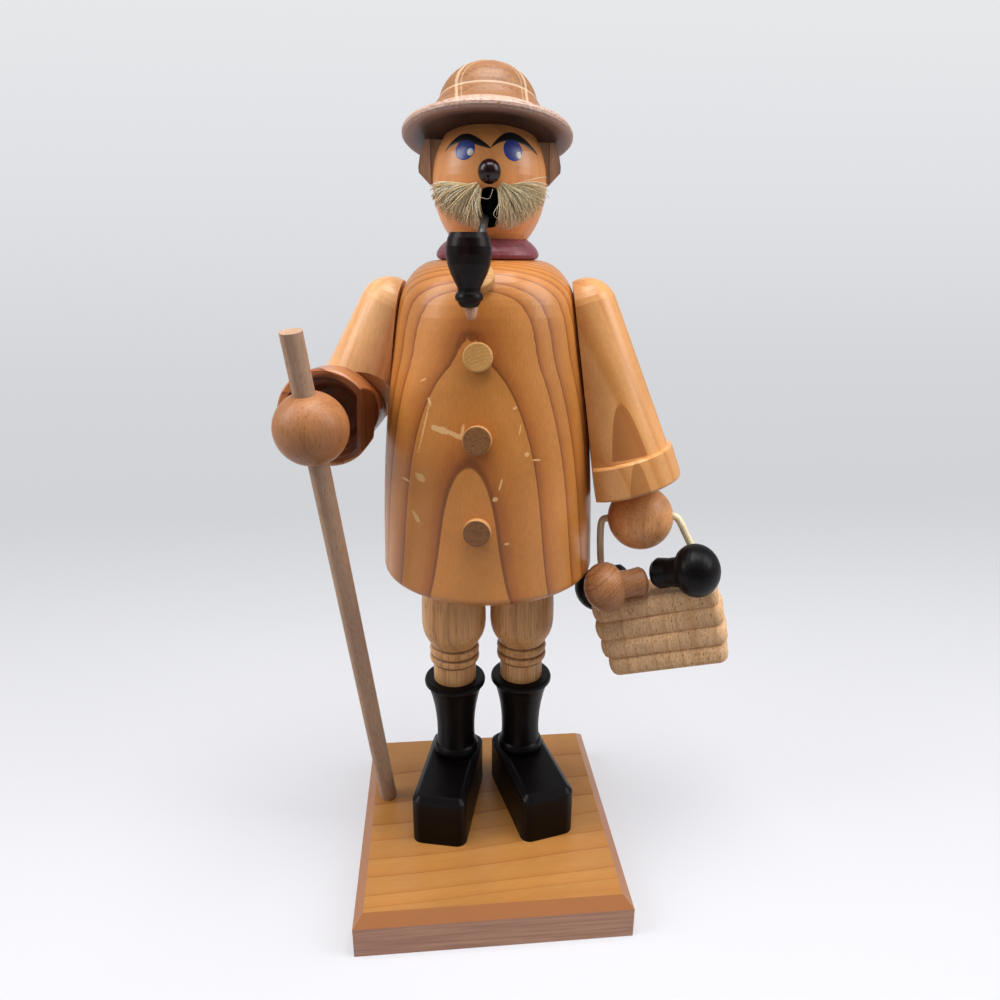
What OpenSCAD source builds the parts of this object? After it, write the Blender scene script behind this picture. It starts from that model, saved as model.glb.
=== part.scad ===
// Wooden incense smoker: a mushroom gatherer with a stick and a basket.
// Millimetres. The origin is the centre of the board's underside.
// The figure faces -Y, +Z is up, and "left" and "right" are the figure's own.

/* [Board] */
// Side of the square base board
board_width = 100; // [98:1:106]
// Thickness of the base board
board_thick = 16; // [14:1:20]
// Bevel round the board's top edge
board_bevel = 3.6; // [2:0.2:5]

/* [Figure on its board] */
// Figure's axis, measured from the board's centre to the figure's left
figure_x = 2; // [0:0.5:3]
// Figure's axis, measured back from the board's centre
figure_y = 13.8; // [12:0.2:15]
// Turn of the coat and arms on the hips, to the figure's right
coat_turn = 9.3; // [7:0.1:11]
// Distance between the two leg axes
leg_spacing = 27; // [26:0.5:28]

/* [Feet and boots] */
// Width of a foot block
foot_width = 21.4; // [20:0.2:23]
// Height of a foot block
foot_height = 20.8; // [19:0.2:22]
// Reach of the toe ahead of the leg axis
toe_reach = 32.5; // [30:0.5:34]
// Outward splay of each foot
foot_splay = 13; // [10:1:14]
// Bevel round a foot's upper edges
foot_bevel = 2.8; // [2:0.2:3.6]
// Height of the boot shaft above the foot block
boot_height = 35; // [34:0.5:37]
// Radius of the boot's rim
boot_rim_r = 12.3; // [11.8:0.1:12.6]

/* [Legs] */
// Radius of the barrel-shaped breeches
breeches_r = 12.6; // [12:0.1:12.8]
// Radius of the stocking that stands in the boot
stocking_r = 8.5; // [8:0.1:8.8]

/* [Coat] */
// Height of the coat's lower edge above the table
coat_bottom = 121.5; // [121:0.5:123]
// Height of the coat's top above the table
coat_top = 232.6; // [231:0.2:233]
// Coat radius at the hem
hem_r = 39.2; // [38.6:0.1:40]
// Radius of the smoke chamber in the coat
chamber_r = 25; // [23:0.5:25.5]
// Radius of the buttons
button_r = 4.6; // [4:0.1:5]

/* [Head] */
// Widest radius of the head
head_r = 18.5; // [18:0.1:18.8]
// Height of the head's widest place above the table
head_mid = 256; // [255.4:0.2:256.4]
// Head's shift to the figure's left of the body's axis
head_shift = 0.7; // [0:0.1:1]
// Turn of the face to the figure's right
head_turn = 4.5; // [2:0.5:7]
// Radius of the nose bead
nose_r = 3.5; // [3:0.1:3.8]
// Half width of the mouth hole
mouth_r = 3.9; // [3.4:0.1:4.2]

/* [Hat] */
// Radius of the brim
brim_r = 27.3; // [26:0.1:28]
// Height of the crown above the brim's edge
crown_height = 23.2; // [22.6:0.2:24]
// Backward tilt of the hat
hat_tilt = 12.3; // [10:0.1:13]

/* [Arms] */
// Height of the shoulder joints above the table
shoulder_height = 216.6; // [216:0.2:217.6]
// Outward lean of the sleeves
sleeve_lean = 17.1; // [16.8:0.1:17.8]
// Radius of the sleeve at the shoulder
shoulder_r = 10.6; // [10:0.1:10.8]
// Outer radius of the cuffs
cuff_r = 17.2; // [16.8:0.1:17.6]
// Length of the cuffs
cuff_length = 12; // [11:0.5:13]
// Radius of the hand beads
hand_r = 11.8; // [11.4:0.1:12]

/* [Stick] */
// Radius of the walking stick
stick_r = 3.45; // [3.2:0.05:3.6]
// Length of the walking stick
stick_length = 200; // [196:1:204]

/* [Basket] */
// Width of the basket at its widest ridge
basket_width = 47.8; // [46.8:0.2:48.4]
// Depth of the basket from front to back
basket_depth = 18; // [17:0.5:20]
// Height of the basket
basket_height = 31; // [29:0.2:31.4]
// Radius of the cane used for the handle and the pipe's stem
cane_r = 1.4; // [1.3:0.05:1.5]

/* [Bristles] */
// Strands side by side in one layer of a moustache half
strand_columns = 19; // [15:1:19]
// Layers of strands, one in front of the other
strand_layers = 8; // [6:1:8]

/* [Clearances] */
// Radial running clearance of the pins and sliding parts
run_gap = 0.06; // [0.03:0.01:0.1]
// Glue gap between seated pieces
glue_gap = 0.05; // [0.02:0.01:0.1]

/* [Hidden] */
$fn = 72;
tiny = 0.01;

// Feet and legs
foot_top = board_thick + foot_height;
boot_top = foot_top + boot_height;
leg_side = leg_spacing / 2;
foot_out = 1;

// Hips
disc_r = 30;
disc_top = coat_bottom + 4.5;
spigot_r = chamber_r - run_gap;
spigot_top = disc_top + 6;
neck_r = 7.9;
neck_bore = 6;
neck_top = head_mid - 13.6;
collar_top = 239;

// Coat: where its shoulders begin, its flat top's radius, its hem's bevel and its buttons
coat_shoulder = coat_bottom + 92;
coat_neck = 16.2;
coat_bevel = 4;
button_heights = [for (up = [105.5, 82.9, 57.7, 27.7]) coat_bottom + up];

// Head: an egg shape cut off at the collar
head_up = 23;
head_low = collar_top + glue_gap;

// Hat: its tilted frame stands on the brim's lower edge
hat_base = 268.4;
hat_side = 2.2;

// Arms, in the coat's own frame: x outward, y back, z up
shoulder_x = 33.9;
arm_slope = 0.1;
arm_forward = 3.4;
hand_reach = 76.5;
cuff_end = hand_reach - 12.6;
flat_x = 29.9;
flat_tilt = 8.3;
elbow = [-49.5, 1, shoulder_height - 34];
right_hand_at = [-51.4, -41.1, shoulder_height - 33.6];
right_mouth_y = -27.2;
arm_dir = [cos(arm_forward) * sin(sleeve_lean), -sin(arm_forward), -cos(arm_forward) * cos(sleeve_lean)];
left_hand_at = [shoulder_x, 0, shoulder_height] + hand_reach * arm_dir;

// Stick: where its axis meets the board, and its direction through the right hand's centre
stick_foot = [-40.8, 11.1, board_thick + 0.9];
stick_reach = [
    figure_x + right_hand_at[0] * cos(coat_turn) + right_hand_at[1] * sin(coat_turn),
    figure_y - right_hand_at[0] * sin(coat_turn) + right_hand_at[1] * cos(coat_turn),
    right_hand_at[2]
] - stick_foot;
stick_dir = stick_reach / stick_reach[2];

// Basket, hung from the left hand's centre: turn of its face, its tilt, and the handle's tilt
basket_turn = 18.5;
basket_tilt = 16.5;
handle_tilt = 6.8;

base_board();
right_foot();
left_foot();
right_boot();
left_boot();
right_leg();
left_leg();
hip_disc();
incense_dish();
coat();
neck_button();
top_button();
middle_button();
bottom_button();
collar();
neck_tube();
head();
hair();
hat();
nose();
right_moustache();
left_moustache();
pipe_bowl();
pipe_stem();
right_sleeve();
right_forearm();
left_sleeve();
right_hand();
left_hand();
right_hand_pin();
left_hand_pin();
right_shoulder_pin();
left_shoulder_pin();
walking_stick();
basket();
basket_handle();
brown_mushroom();
dark_mushroom();
rear_mushroom();

// Frames

module on_axis() {
    translate([figure_x, figure_y, 0]) children();
}

module in_coat() {
    on_axis() rotate([0, 0, -coat_turn]) children();
}

module in_head() {
    translate([figure_x + head_shift, figure_y, 0]) rotate([0, 0, -head_turn]) children();
}

module in_hat() {
    translate([figure_x, figure_y, hat_base]) rotate([-hat_tilt, hat_side, 0]) children();
}

module at_leg(side) {
    translate([figure_x + side * leg_side, figure_y, 0]) children();
}

// Board

module base_board() {
    color("#C98F4E")
    difference() {
        translate([-board_width / 2, -board_width / 2, 0]) cube([board_width, board_width, board_thick]);
        for (turn = [0:90:270])
            rotate([0, 0, turn])
                translate([board_width / 2 - board_bevel, -board_width, board_thick])
                    rotate([0, 45, 0])
                        cube([board_width, 2 * board_width, board_width]);
    }
}

// Feet

// Block with rounded upright corners of radius c: a polygon gives its edge, carried
// along the four sides and turned round the four corners
module turned_block(w, d, h, c, edge) {
    translate([0, 0, h / 2]) cube([w - 2 * c, d - 2 * c, h], center = true);
    for (t = [0:3]) {
        along = t % 2 == 0 ? d - 2 * c : w - 2 * c;
        out = t % 2 == 0 ? w / 2 - c : d / 2 - c;
        rotate([0, 0, 90 * t]) {
            translate([out, along / 2, 0])
                rotate([90, 0, 0]) linear_extrude(along) polygon(edge);
            translate([out, along / 2, 0]) rotate_extrude(angle = 90) polygon(edge);
        }
    }
}

module foot(side) {
    heel = 12.5;
    h = foot_height - glue_gap;
    c = 4;
    b = foot_bevel;
    difference() {
        translate([side * foot_out, 0, board_thick])
            rotate([0, 0, side * foot_splay])
                translate([0, (heel - toe_reach) / 2, 0])
                    turned_block(foot_width, heel + toe_reach, h, c, [
                        [0, 0], [c, 0], [c, h - b], [c - 0.25, h - b + 0.75], [c - b + 0.75, h - 0.25],
                        [c - b, h], [0, h]
                    ]);
        // Socket for the boot's tenon
        translate([0, 0, foot_top - 6]) cylinder(r = 5, h = 10);
    }
}

module right_foot() {
    color("#1C1512") at_leg(-1) foot(-1);
}

module left_foot() {
    color("#1C1512") at_leg(1) foot(1);
}

// Boots

module boot() {
    b = foot_top;
    t = boot_top;
    difference() {
        rotate_extrude()
            polygon([
                [0, b - 5.8], [5 - glue_gap, b - 5.8], [5 - glue_gap, b], [8.6, b], [9.2, b + 1.2],
                [9.2, b + 2.6], [8.7, b + 3.8], [8, b + 4.6], [7.8, b + 7], [7.7, b + 10],
                [7.8, b + 14], [8.1, b + 18], [8.7, b + 22.5], [9.6, b + 27], [10.7, b + 31],
                [11.6, t - 2.4], [12.2, t - 2.1], [boot_rim_r, t - 1.2], [boot_rim_r - 0.3, t - 0.3],
                [boot_rim_r - 1, t], [0, t]
            ]);
        translate([0, 0, t - 9]) cylinder(r = stocking_r + glue_gap, h = 10);
    }
}

module right_boot() {
    color("#1A1412") at_leg(-1) boot();
}

module left_boot() {
    color("#1A1412") at_leg(1) boot();
}

// Legs: breeches, garter rings and stocking turned in one piece

module leg() {
    k = boot_top;
    top = coat_bottom;
    // The tenon's end stands in the hip disc
    rotate_extrude()
        polygon([
            [0, k - 8.9], [stocking_r, k - 8.9], [stocking_r, k + 7.4], [8.9, k + 8.2],
            [9.7, k + 8.9], [9.9, k + 9.8], [9.8, k + 10.8], [9, k + 11.6], [9.6, k + 12.4],
            [9.9, k + 13.6], [9.6, k + 14.8], [8.9, k + 15.6], [9.5, k + 16.4], [9.9, k + 17.4],
            [10.8, k + 18.8], [11.7, k + 20.6], [12.3, k + 22.8], [breeches_r, k + 25.6],
            [breeches_r, k + 29], [breeches_r - 0.1, k + 34], [breeches_r - 0.5, k + 40],
            [11.6, top - 4], [10.8, top - glue_gap], [5, top - glue_gap],
            [5, top + 3], [0, top + 3]
        ]);
}

module right_leg() {
    color("#B98656") at_leg(-1) leg();
}

module left_leg() {
    color("#B98656") at_leg(1) leg();
}

// Hips: the disc that the legs are glued to, with the spigot the coat stands on

module hip_disc() {
    color("#C08A55")
    difference() {
        on_axis() {
            translate([0, 0, coat_bottom]) cylinder(r = disc_r, h = disc_top - coat_bottom);
            translate([0, 0, disc_top - tiny]) cylinder(r = spigot_r, h = spigot_top - disc_top + tiny);
        }
        for (side = [-1, 1])
            at_leg(side) translate([0, 0, coat_bottom - 1]) cylinder(r = 5 + glue_gap, h = 4.2);
        on_axis() translate([0, 0, spigot_top - 5]) cylinder(r = 1.5 + run_gap, h = 8);
    }
}

module incense_dish() {
    z = spigot_top + 0.1;
    color("#B9B9B4")
    on_axis()
        rotate_extrude()
            polygon([
                [0, z - 4.6], [1.5, z - 4.6], [1.5, z], [12.6, z], [14.6, z + 2.6],
                [14, z + 2.9], [12.2, z + 0.7], [4.2, z + 0.7], [3.9, z + 1.5], [0, z + 1.5]
            ]);
}

// Coat: turned shell, open below, smoke leaves at the neck

// Outer radius of the coat at height z: a long gentle curve
function coat_r(z) =
    let (t = (z - coat_bottom) / (coat_shoulder - coat_bottom))
    hem_r - 2.1 * t - 6.5 * pow(max(t, 0), 2.6);

// The shoulders close in a quarter ellipse; a cubic with the slopes of both joins it to the side
function coat_dome(z) =
    coat_neck + (coat_r(coat_shoulder) - coat_neck)
        * sqrt(max(0, 1 - pow((z - coat_shoulder) / (coat_top - coat_shoulder), 2)));

function coat_bend(z) =
    let (
        a = coat_shoulder - 13.5,
        b = coat_shoulder + 6,
        w = b - a,
        s = (z - a) / w,
        slope_a = (coat_r(a) - coat_r(a - 1)) * w,
        slope_b = (coat_dome(b + 0.5) - coat_dome(b - 0.5)) * w
    )
    coat_r(a) * (2 * pow(s, 3) - 3 * s * s + 1) + slope_a * (pow(s, 3) - 2 * s * s + s)
        + coat_dome(b) * (3 * s * s - 2 * pow(s, 3)) + slope_b * (pow(s, 3) - s * s);

function coat_side(z) =
    z <= coat_shoulder - 13.5 ? coat_r(z)
    : z < coat_shoulder + 6 ? coat_bend(z)
    : coat_dome(z);

coat_wall_profile = concat(
    [for (a = [0:15:90])
        [hem_r - coat_bevel + coat_bevel * sin(a), coat_bottom + coat_bevel * 0.85 * (1 - cos(a))]],
    [for (i = [1:24])
        let (z = coat_bottom + coat_bevel + (coat_shoulder + 6 - coat_bottom - coat_bevel) * i / 24)
            [coat_side(z), z]],
    [for (a = [24:6:90])
        [coat_neck + (coat_r(coat_shoulder) - coat_neck) * cos(a),
            coat_shoulder + (coat_top - coat_shoulder) * sin(a)]]
);

// The coat's outline grown by a gap: what sits on the coat is cut back by it
module coat_room(gap) {
    rotate_extrude($fn = 96)
        polygon(concat(
            [[0, coat_bottom - 30], [hem_r + gap, coat_bottom - 30]],
            [for (p = coat_wall_profile) if (p[1] > coat_bottom + coat_bevel * 0.8) [p[0] + gap, p[1]]],
            [[0, coat_top + gap]]
        ));
}

module coat() {
    seat = 30.4;
    color("#C88A48")
    in_coat()
        difference() {
            rotate_extrude($fn = 96)
                polygon(concat(
                    [[0, coat_bottom]],
                    coat_wall_profile,
                    [[0, coat_top]]
                ));
            // Seat for the hip disc, smoke chamber and neck bore
            rotate_extrude()
                polygon([
                    [0, coat_bottom - 1], [seat, coat_bottom - 1], [seat, disc_top],
                    [chamber_r, disc_top], [chamber_r, 188], [22.5, 197], [16, 208],
                    [neck_r - 1.5, 217], [neck_r - 1.5, 221], [neck_r + glue_gap, 221],
                    [neck_r + glue_gap, coat_top + 1], [0, coat_top + 1]
                ]);
            // Drilled seats for the buttons and for the shoulder pins
            for (z = button_heights)
                button_place(z) cylinder(r = button_r - 1.2 + glue_gap, h = 8, center = true);
            for (side = [-1, 1])
                pin_place(side) cylinder(r = 3 + glue_gap, h = 8, center = true);
        }
}

// Buttons stand square to the coat's front at their height

module button_place(z) {
    slope = atan(coat_side(z - 0.5) - coat_side(z + 0.5));
    translate([0, -coat_side(z), z]) rotate([90 - slope, 0, 0]) children();
}

module button(z) {
    color("#D8A868")
    in_coat() {
        // The back is hollowed to sit on the curved coat
        difference() {
            button_place(z)
                rotate_extrude()
                    polygon([
                        [0, -1.5], [button_r, -1.5], [button_r, 2.1], [button_r - 0.15, 2.45],
                        [button_r - 0.5, 2.6], [0, 2.6]
                    ]);
            coat_room(glue_gap);
        }
        button_place(z) translate([0, 0, -3.4]) cylinder(r = button_r - 1.2, h = 4.4);
    }
}

module neck_button() { button(button_heights[0]); }
module top_button() { button(button_heights[1]); }
module middle_button() { button(button_heights[2]); }
module bottom_button() { button(button_heights[3]); }

// Collar and neck

module collar() {
    lo = coat_top + glue_gap;
    color("#7A2B33")
    on_axis()
        rotate_extrude()
            polygon([
                [neck_r + glue_gap, lo], [15.6, lo], [16.8, lo + 0.5], [17.2, lo + 1.5],
                [16.9, lo + 2.7], [16, lo + 4], [14.8, lo + 5.2], [13.2, collar_top],
                [neck_r + glue_gap, collar_top]
            ]);
}

module neck_tube() {
    color("#C9A070")
    on_axis()
        difference() {
            translate([0, 0, 221]) cylinder(r = neck_r, h = neck_top - 221);
            translate([0, 0, 220]) cylinder(r = neck_bore, h = 40);
        }
}

// Head: hollow egg with the mouth hole in front

// Radius of the head's outside at height z
function head_at(z) = head_r * sqrt(max(0, 1 - pow((z - head_mid) / head_up, 2)));

module head() {
    low = asin((head_low - head_mid) / head_up);
    color("#D2935F")
    difference() {
        in_head()
            rotate_extrude($fn = 96)
                polygon(concat(
                    [[0, head_low]],
                    [for (i = [0:24]) let (a = low + (90 - low) * i / 24)
                        [head_r * cos(a), head_mid + head_up * sin(a)]]
                ));
        // Bore over the neck, then the smoke hollow
        on_axis() translate([0, 0, head_low - 1])
            cylinder(r = neck_r + glue_gap, h = neck_top - head_low + 1);
        in_head() {
            translate([0, 0, neck_top - tiny]) cylinder(r = 8.6, h = 13);
            translate([0, 0, neck_top + 13 - 2 * tiny]) cylinder(r1 = 8.6, r2 = 1, h = 5);
            // Mouth: an upright slot with round ends
            for (z = [246.2, 250])
                translate([0, 0, z]) rotate([90, 0, 0]) cylinder(r = mouth_r, h = 30);
            translate([-mouth_r, -30, 246.2]) cube([2 * mouth_r, 30, 3.8]);
            nose_place() translate([0, 0, -9]) cylinder(r = 1.5 + glue_gap, h = 9);
        }
    }
}

module nose_place() {
    translate([0, -head_at(258) - nose_r + 1.2, 257.9]) rotate([90, 0, 0]) children();
}

module nose() {
    color("#3A1A18")
    in_head() {
        difference() {
            nose_place() {
                sphere(r = nose_r);
                translate([0, 0, -7.5]) cylinder(r = 1.5, h = 7);
            }
            // Kept clear of the curved face
            difference() {
                translate([0, 0, 257.9 - 6]) cylinder(r = head_at(257.9) + glue_gap, h = 12);
                translate([0, 0, 257.9]) rotate([90, 0, 0]) cylinder(r = 1.5, h = 40);
            }
        }
    }
}

// Hair: rear half ring standing off the head, with a bevelled lower edge

module hair() {
    out = 23;
    color("#7A5A40")
    difference() {
        in_head()
            intersection() {
                rotate_extrude($fn = 96)
                    polygon([
                        [head_at(255.6) - 1.5, 255.6], [head_at(255.6) + 0.8, 255.6],
                        [out, 259.4], [out + 0.1, 261.2],
                        [out - 0.5, 264.5], [out - 1.6, 267.5], [out - 3, 270.5], [out - 5, 284],
                        [10, 284], [10, 262]
                    ]);
                translate([-40, -0.5, 240]) cube([80, 60, 60]);
            }
        in_head()
            rotate_extrude($fn = 96)
                polygon(concat(
                    [[0, 230]],
                    [for (i = [0:30])
                        let (a = -60 + 150 * i / 30)
                        [(head_r + glue_gap) * cos(a), head_mid + (head_up + glue_gap) * sin(a)]]
                ));
        in_hat() hat_inside(-glue_gap);
    }
}

// Hat: bell-shaped brim with a rolled lip and a domed crown

hat_outer = [
    [brim_r - 1.4, 3.1], [brim_r - 3.4, 3.9], [brim_r - 5.6, 5], [brim_r - 7.6, 6.5],
    [brim_r - 9.3, 8.3], [brim_r - 10.7, 10.4], [brim_r - 11.5, 11.6]
];

module hat_inside(grow) {
    // Everything above the brim's lower face
    rotate_extrude($fn = 96)
        polygon([
            [0, 60], [60, 60], [60, -1], [brim_r - 0.7, -grow - 1], [brim_r - 1.6, grow],
            [brim_r - 4, 0.35 + grow], [0, 0.35 + grow]
        ]);
}

module hat() {
    color("#A8794C")
    difference() {
        in_hat()
            rotate_extrude($fn = 96)
                polygon(concat(
                    [
                        [0, 0.35], [brim_r - 4, 0.35], [brim_r - 1.6, 0], [brim_r - 0.7, 0.1], [brim_r, 0.8],
                        [brim_r + 0.1, 1.6], [brim_r - 0.3, 2.5]
                    ],
                    hat_outer,
                    [for (i = [1:12])
                        let (a = 8 + 82 * i / 12)
                        [(brim_r - 11.5) * cos(a) / cos(8),
                            11.6 + (crown_height - 11.6) * (sin(a) - sin(8)) / (1 - sin(8))]]
                ));
        // Room for the head
        in_head()
            rotate_extrude($fn = 96)
                polygon(concat(
                    [[0, 230]],
                    [for (i = [0:30])
                        let (a = -60 + 150 * i / 30)
                        [(head_r + glue_gap) * cos(a), head_mid + (head_up + glue_gap) * sin(a)]]
                ));
    }
}

// Pipe

pipe_at = [-6.2, -26, 0];

module pipe_bowl() {
    color("#2C1612")
    translate(pipe_at)
        difference() {
            rotate_extrude()
                polygon([
                    [0, 219.8], [1.8, 219.8], [2.6, 220.1], [3.1, 220.8], [3.3, 221.4], [4, 222],
                    [4.2, 222.9], [3.9, 223.7], [3.3, 224.4], [3.4, 225.4], [4.2, 227],
                    [5.3, 229.2], [6.2, 231.8], [6.6, 234.4], [6.5, 236.6], [6, 238.8],
                    [5.3, 240.3], [0, 240.3]
                ]);
            translate([0, 0, 230.5]) cylinder(r = 4, h = 12);
            translate([0, 0, 228]) cylinder(r1 = 1.2, r2 = 4, h = 2.5 + tiny);
            translate([0, 0, 219]) cylinder(r = 1.35, h = 4.5);
        }
}

// Stem: a bent cane from the mouth, down behind the bowl and up into its foot

stem_points = [
    [0.5, 3, 244.8], [0, -4, 244.8], [-0.9, -9.4, 242.6], [-2.2, -13.4, 238.2],
    [-3.1, -16.6, 232.2], [-3.8, -19, 226], [-4.3, -20.7, 221], [-4.9, -22.4, 218],
    [-5.7, -24.6, 217.1], [-6.18, -25.95, 218.9], [-6.2, -26, 221], [-6.2, -26, 223]
];

function spline(p, s) =
    let (
        n = len(p) - 1,
        i = min(floor(s), n - 1),
        t = s - i,
        a = p[max(i - 1, 0)], b = p[i], c = p[i + 1], d = p[min(i + 2, n)]
    )
    0.5 * ((2 * b) + (c - a) * t + (2 * a - 5 * b + 4 * c - d) * t * t + (3 * b - a - 3 * c + d) * t * t * t);

function unit(v) = v / norm(v);

// Tube along a smooth curve, closed at both ends, as one polyhedron
module tube_along(p, r, steps, sides) {
    n = len(p) - 1;
    pts = [for (k = [0:steps]) spline(p, n * k / steps)];
    dirs = [for (k = [0:steps]) unit(pts[min(k + 1, steps)] - pts[max(k - 1, 0)])];
    ref = [1, 0.15, 0];
    rings = [for (k = [0:steps])
        let (v = unit(cross(dirs[k], ref)), u = cross(v, dirs[k]))
        for (j = [0:sides - 1]) pts[k] + r * (cos(360 * j / sides) * u + sin(360 * j / sides) * v)];
    walls = [for (k = [0:steps - 1], j = [0:sides - 1])
        let (a = k * sides + j, b = k * sides + (j + 1) % sides)
        each [[a, a + sides, b], [b, a + sides, b + sides]]];
    ends = [
        [for (j = [0:sides - 1]) j],
        [for (j = [sides - 1:-1:0]) steps * sides + j]
    ];
    polyhedron(points = rings, faces = concat(walls, ends), convexity = 6);
}

module pipe_stem() {
    color("#D9BE8C") tube_along(stem_points, 1.25, 36, 12);
}

// Arms

// Flat cut on the body side of an arm
module body_side() {
    translate([flat_x, 0, shoulder_height + 0.9])
        rotate([0, -flat_tilt, 0]) translate([-60, -80, -120]) cube([60, 160, 200]);
}

// Flat on the forearm's body side, turned a little outward to the front
module forearm_side() {
    translate([-35.9, -2, right_hand_at[2]])
        rotate([0, 3.2, -7.9]) translate([0, -80, -100]) cube([60, 160, 200]);
}

module sleeve_axis() {
    translate([shoulder_x, 0, shoulder_height])
        rotate([0, acos(arm_dir[2]), atan2(arm_dir[1], arm_dir[0])])
            children();
}

module pin_place(side) {
    translate([side * flat_x, 0, shoulder_height - 3.6]) rotate([0, 90, 0]) children();
}

module left_sleeve() {
    from = cuff_end - cuff_length;
    color("#C98C4E")
    in_coat()
        difference() {
            sleeve_axis() {
                rotate_extrude()
                    polygon(concat(
                        [for (i = [0:8]) let (a = -90 + i * 90 / 8)
                            [shoulder_r * cos(a), shoulder_r * sin(a)]],
                        [
                            [shoulder_r + 5, from], [cuff_r - 0.5, from + 0.3], [cuff_r - 0.1, from + 0.8],
                            [cuff_r + 0.5, cuff_end - 0.8], [cuff_r + 0.1, cuff_end], [0, cuff_end]
                        ]
                    ));
            }
            body_side();
            coat_room(glue_gap);
            sleeve_axis() {
                translate([0, 0, cuff_end - 9]) cylinder(r = 10.6, h = 10);
                translate([0, 0, cuff_end - 18]) cylinder(r = 3 + glue_gap, h = 12);
                translate([0, 0, hand_reach]) sphere(r = hand_r + 0.3);
            }
            pin_place(1) cylinder(r = 3 + glue_gap, h = 8, center = true);
        }
}

module left_hand_pin() {
    color("#C9A070")
    in_coat() sleeve_axis() translate([0, 0, cuff_end - 17.5]) cylinder(r = 3, h = 17.5 + 12.6 - 5);
}

module left_hand() {
    color("#B98258")
    difference() {
        in_coat() sleeve_axis() translate([0, 0, hand_reach]) sphere(r = hand_r);
        in_coat() sleeve_axis() translate([0, 0, cuff_end]) cylinder(r = 3 + glue_gap, h = 12.6 - 4.5);
        handle_frame() rotate([0, 90, 0]) {
            cylinder(r = cane_r + run_gap, h = 40, center = true);
            // Countersunk mouths of the bore
            for (end = [0, 180])
                rotate([end, 0, 0])
                    translate([0, 0, hand_r - 1.5]) cylinder(r1 = cane_r, r2 = cane_r + 1.6, h = 2.4);
        }
    }
}

module right_upper_axis() {
    v = elbow - [-shoulder_x, 0, shoulder_height];
    translate([-shoulder_x, 0, shoulder_height])
        rotate([0, 180 - atan2(v[0], -v[2]), 0]) children();
}

module right_sleeve() {
    color("#C98C4E")
    in_coat()
        difference() {
            right_upper_axis() {
                rotate_extrude()
                    polygon(concat(
                        [for (i = [0:8]) let (a = -90 + i * 90 / 8)
                            [shoulder_r * cos(a), shoulder_r * sin(a)]],
                        [[15.6, 56], [0, 56]]
                    ));
            }
            mirror([1, 0, 0]) body_side();
            coat_room(glue_gap);
            // Mitre to the forearm
            translate(elbow + [0, 0, glue_gap]) rotate([-45, 0, 0])
                translate([-40, -80, -80]) cube([80, 160, 80]);
            pin_place(-1) cylinder(r = 3 + glue_gap, h = 8, center = true);
        }
}

module right_forearm() {
    r = cuff_r - 0.8;
    color("#C98C4E")
    in_coat()
        difference() {
            forearm_axis()
                rotate_extrude()
                    polygon([
                        [0, 0], [r - 0.6, 0], [r, 0.8], [r - 0.5, cuff_length - 0.8],
                        [r - 1, cuff_length - 0.2], [r - 1.9, cuff_length], [r - 3.4, 56], [0, 56]
                    ]);
            forearm_side();
            coat_room(glue_gap);
            translate(elbow) rotate([-45, 0, 0]) translate([-40, -80, 0]) cube([80, 160, 80]);
            // Turned hollow in the cuff, kept inside the flat on the body side
            difference() {
                forearm_axis() {
                    translate([0, 0, -1]) cylinder(r = r - 2.5, h = 4);
                    translate([0, 0, 3 - tiny]) cylinder(r = r - 4, h = 4);
                    translate([0, 0, 7 - 2 * tiny]) cylinder(r1 = r - 5.5, r2 = r - 8, h = 3.5);
                }
                translate([-1.2, 0, 0]) forearm_side();
            }
            forearm_axis() cylinder(r = 3 + glue_gap, h = 18);
        }
}

module forearm_axis() {
    translate([right_hand_at[0], right_mouth_y, right_hand_at[2]]) rotate([-90, 0, 0]) children();
}

module right_hand_pin() {
    color("#C9A070")
    in_coat()
        translate([right_hand_at[0], right_mouth_y + 17.5, right_hand_at[2]])
            rotate([90, 0, 0]) cylinder(r = 3, h = 17.5 + 13.9 - 6);
}

module right_hand() {
    color("#B98258")
    difference() {
        in_coat() translate(right_hand_at) sphere(r = hand_r);
        in_coat()
            translate([right_hand_at[0], right_mouth_y + 1, right_hand_at[2]])
                rotate([90, 0, 0]) cylinder(r = 3 + glue_gap, h = 1 + 13.9 - 5.5);
        stick_axis() translate([0, 0, 100]) cylinder(r = stick_r + run_gap, h = 120);
    }
}

module right_shoulder_pin() {
    color("#C9A070") in_coat() pin_place(-1) cylinder(r = 3, h = 7.6, center = true);
}

module left_shoulder_pin() {
    color("#C9A070") in_coat() pin_place(1) cylinder(r = 3, h = 7.6, center = true);
}

// Stick

module stick_axis() {
    translate(stick_foot)
        rotate([0, acos(stick_dir[2] / norm(stick_dir)), atan2(stick_dir[1], stick_dir[0])])
            children();
}

module walking_stick() {
    color("#B49A7C") stick_axis() cylinder(r = stick_r, h = stick_length);
}

// Basket with its handle and mushrooms, all in one hanging frame

module at_left_hand() {
    in_coat() translate(left_hand_at) rotate([0, 0, coat_turn - basket_turn]) children();
}

module handle_frame() {
    at_left_hand() rotate([0, -handle_tilt, 0]) children();
}

module in_basket() {
    at_left_hand() rotate([0, -basket_tilt, 0]) children();
}

basket_mid = -1.9;
basket_rim = -28.2;
basket_corner = 4;
bead = 1.3;
ridge = basket_height / 4;
ridge_trim = [0.5, 0, 0.3, 1.5];

// One ridge: a rounded slab with a bulging edge
module basket_ridge(w, d) {
    c = basket_corner;
    turned_block(w, d, ridge, c, [
        [0, 0], [c - bead, 0], [c - bead * 0.45, ridge * 0.1], [c - bead * 0.1, ridge * 0.28],
        [c, ridge * 0.5], [c - bead * 0.1, ridge * 0.72], [c - bead * 0.45, ridge * 0.9],
        [c - bead, ridge], [0, ridge]
    ]);
}

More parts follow.
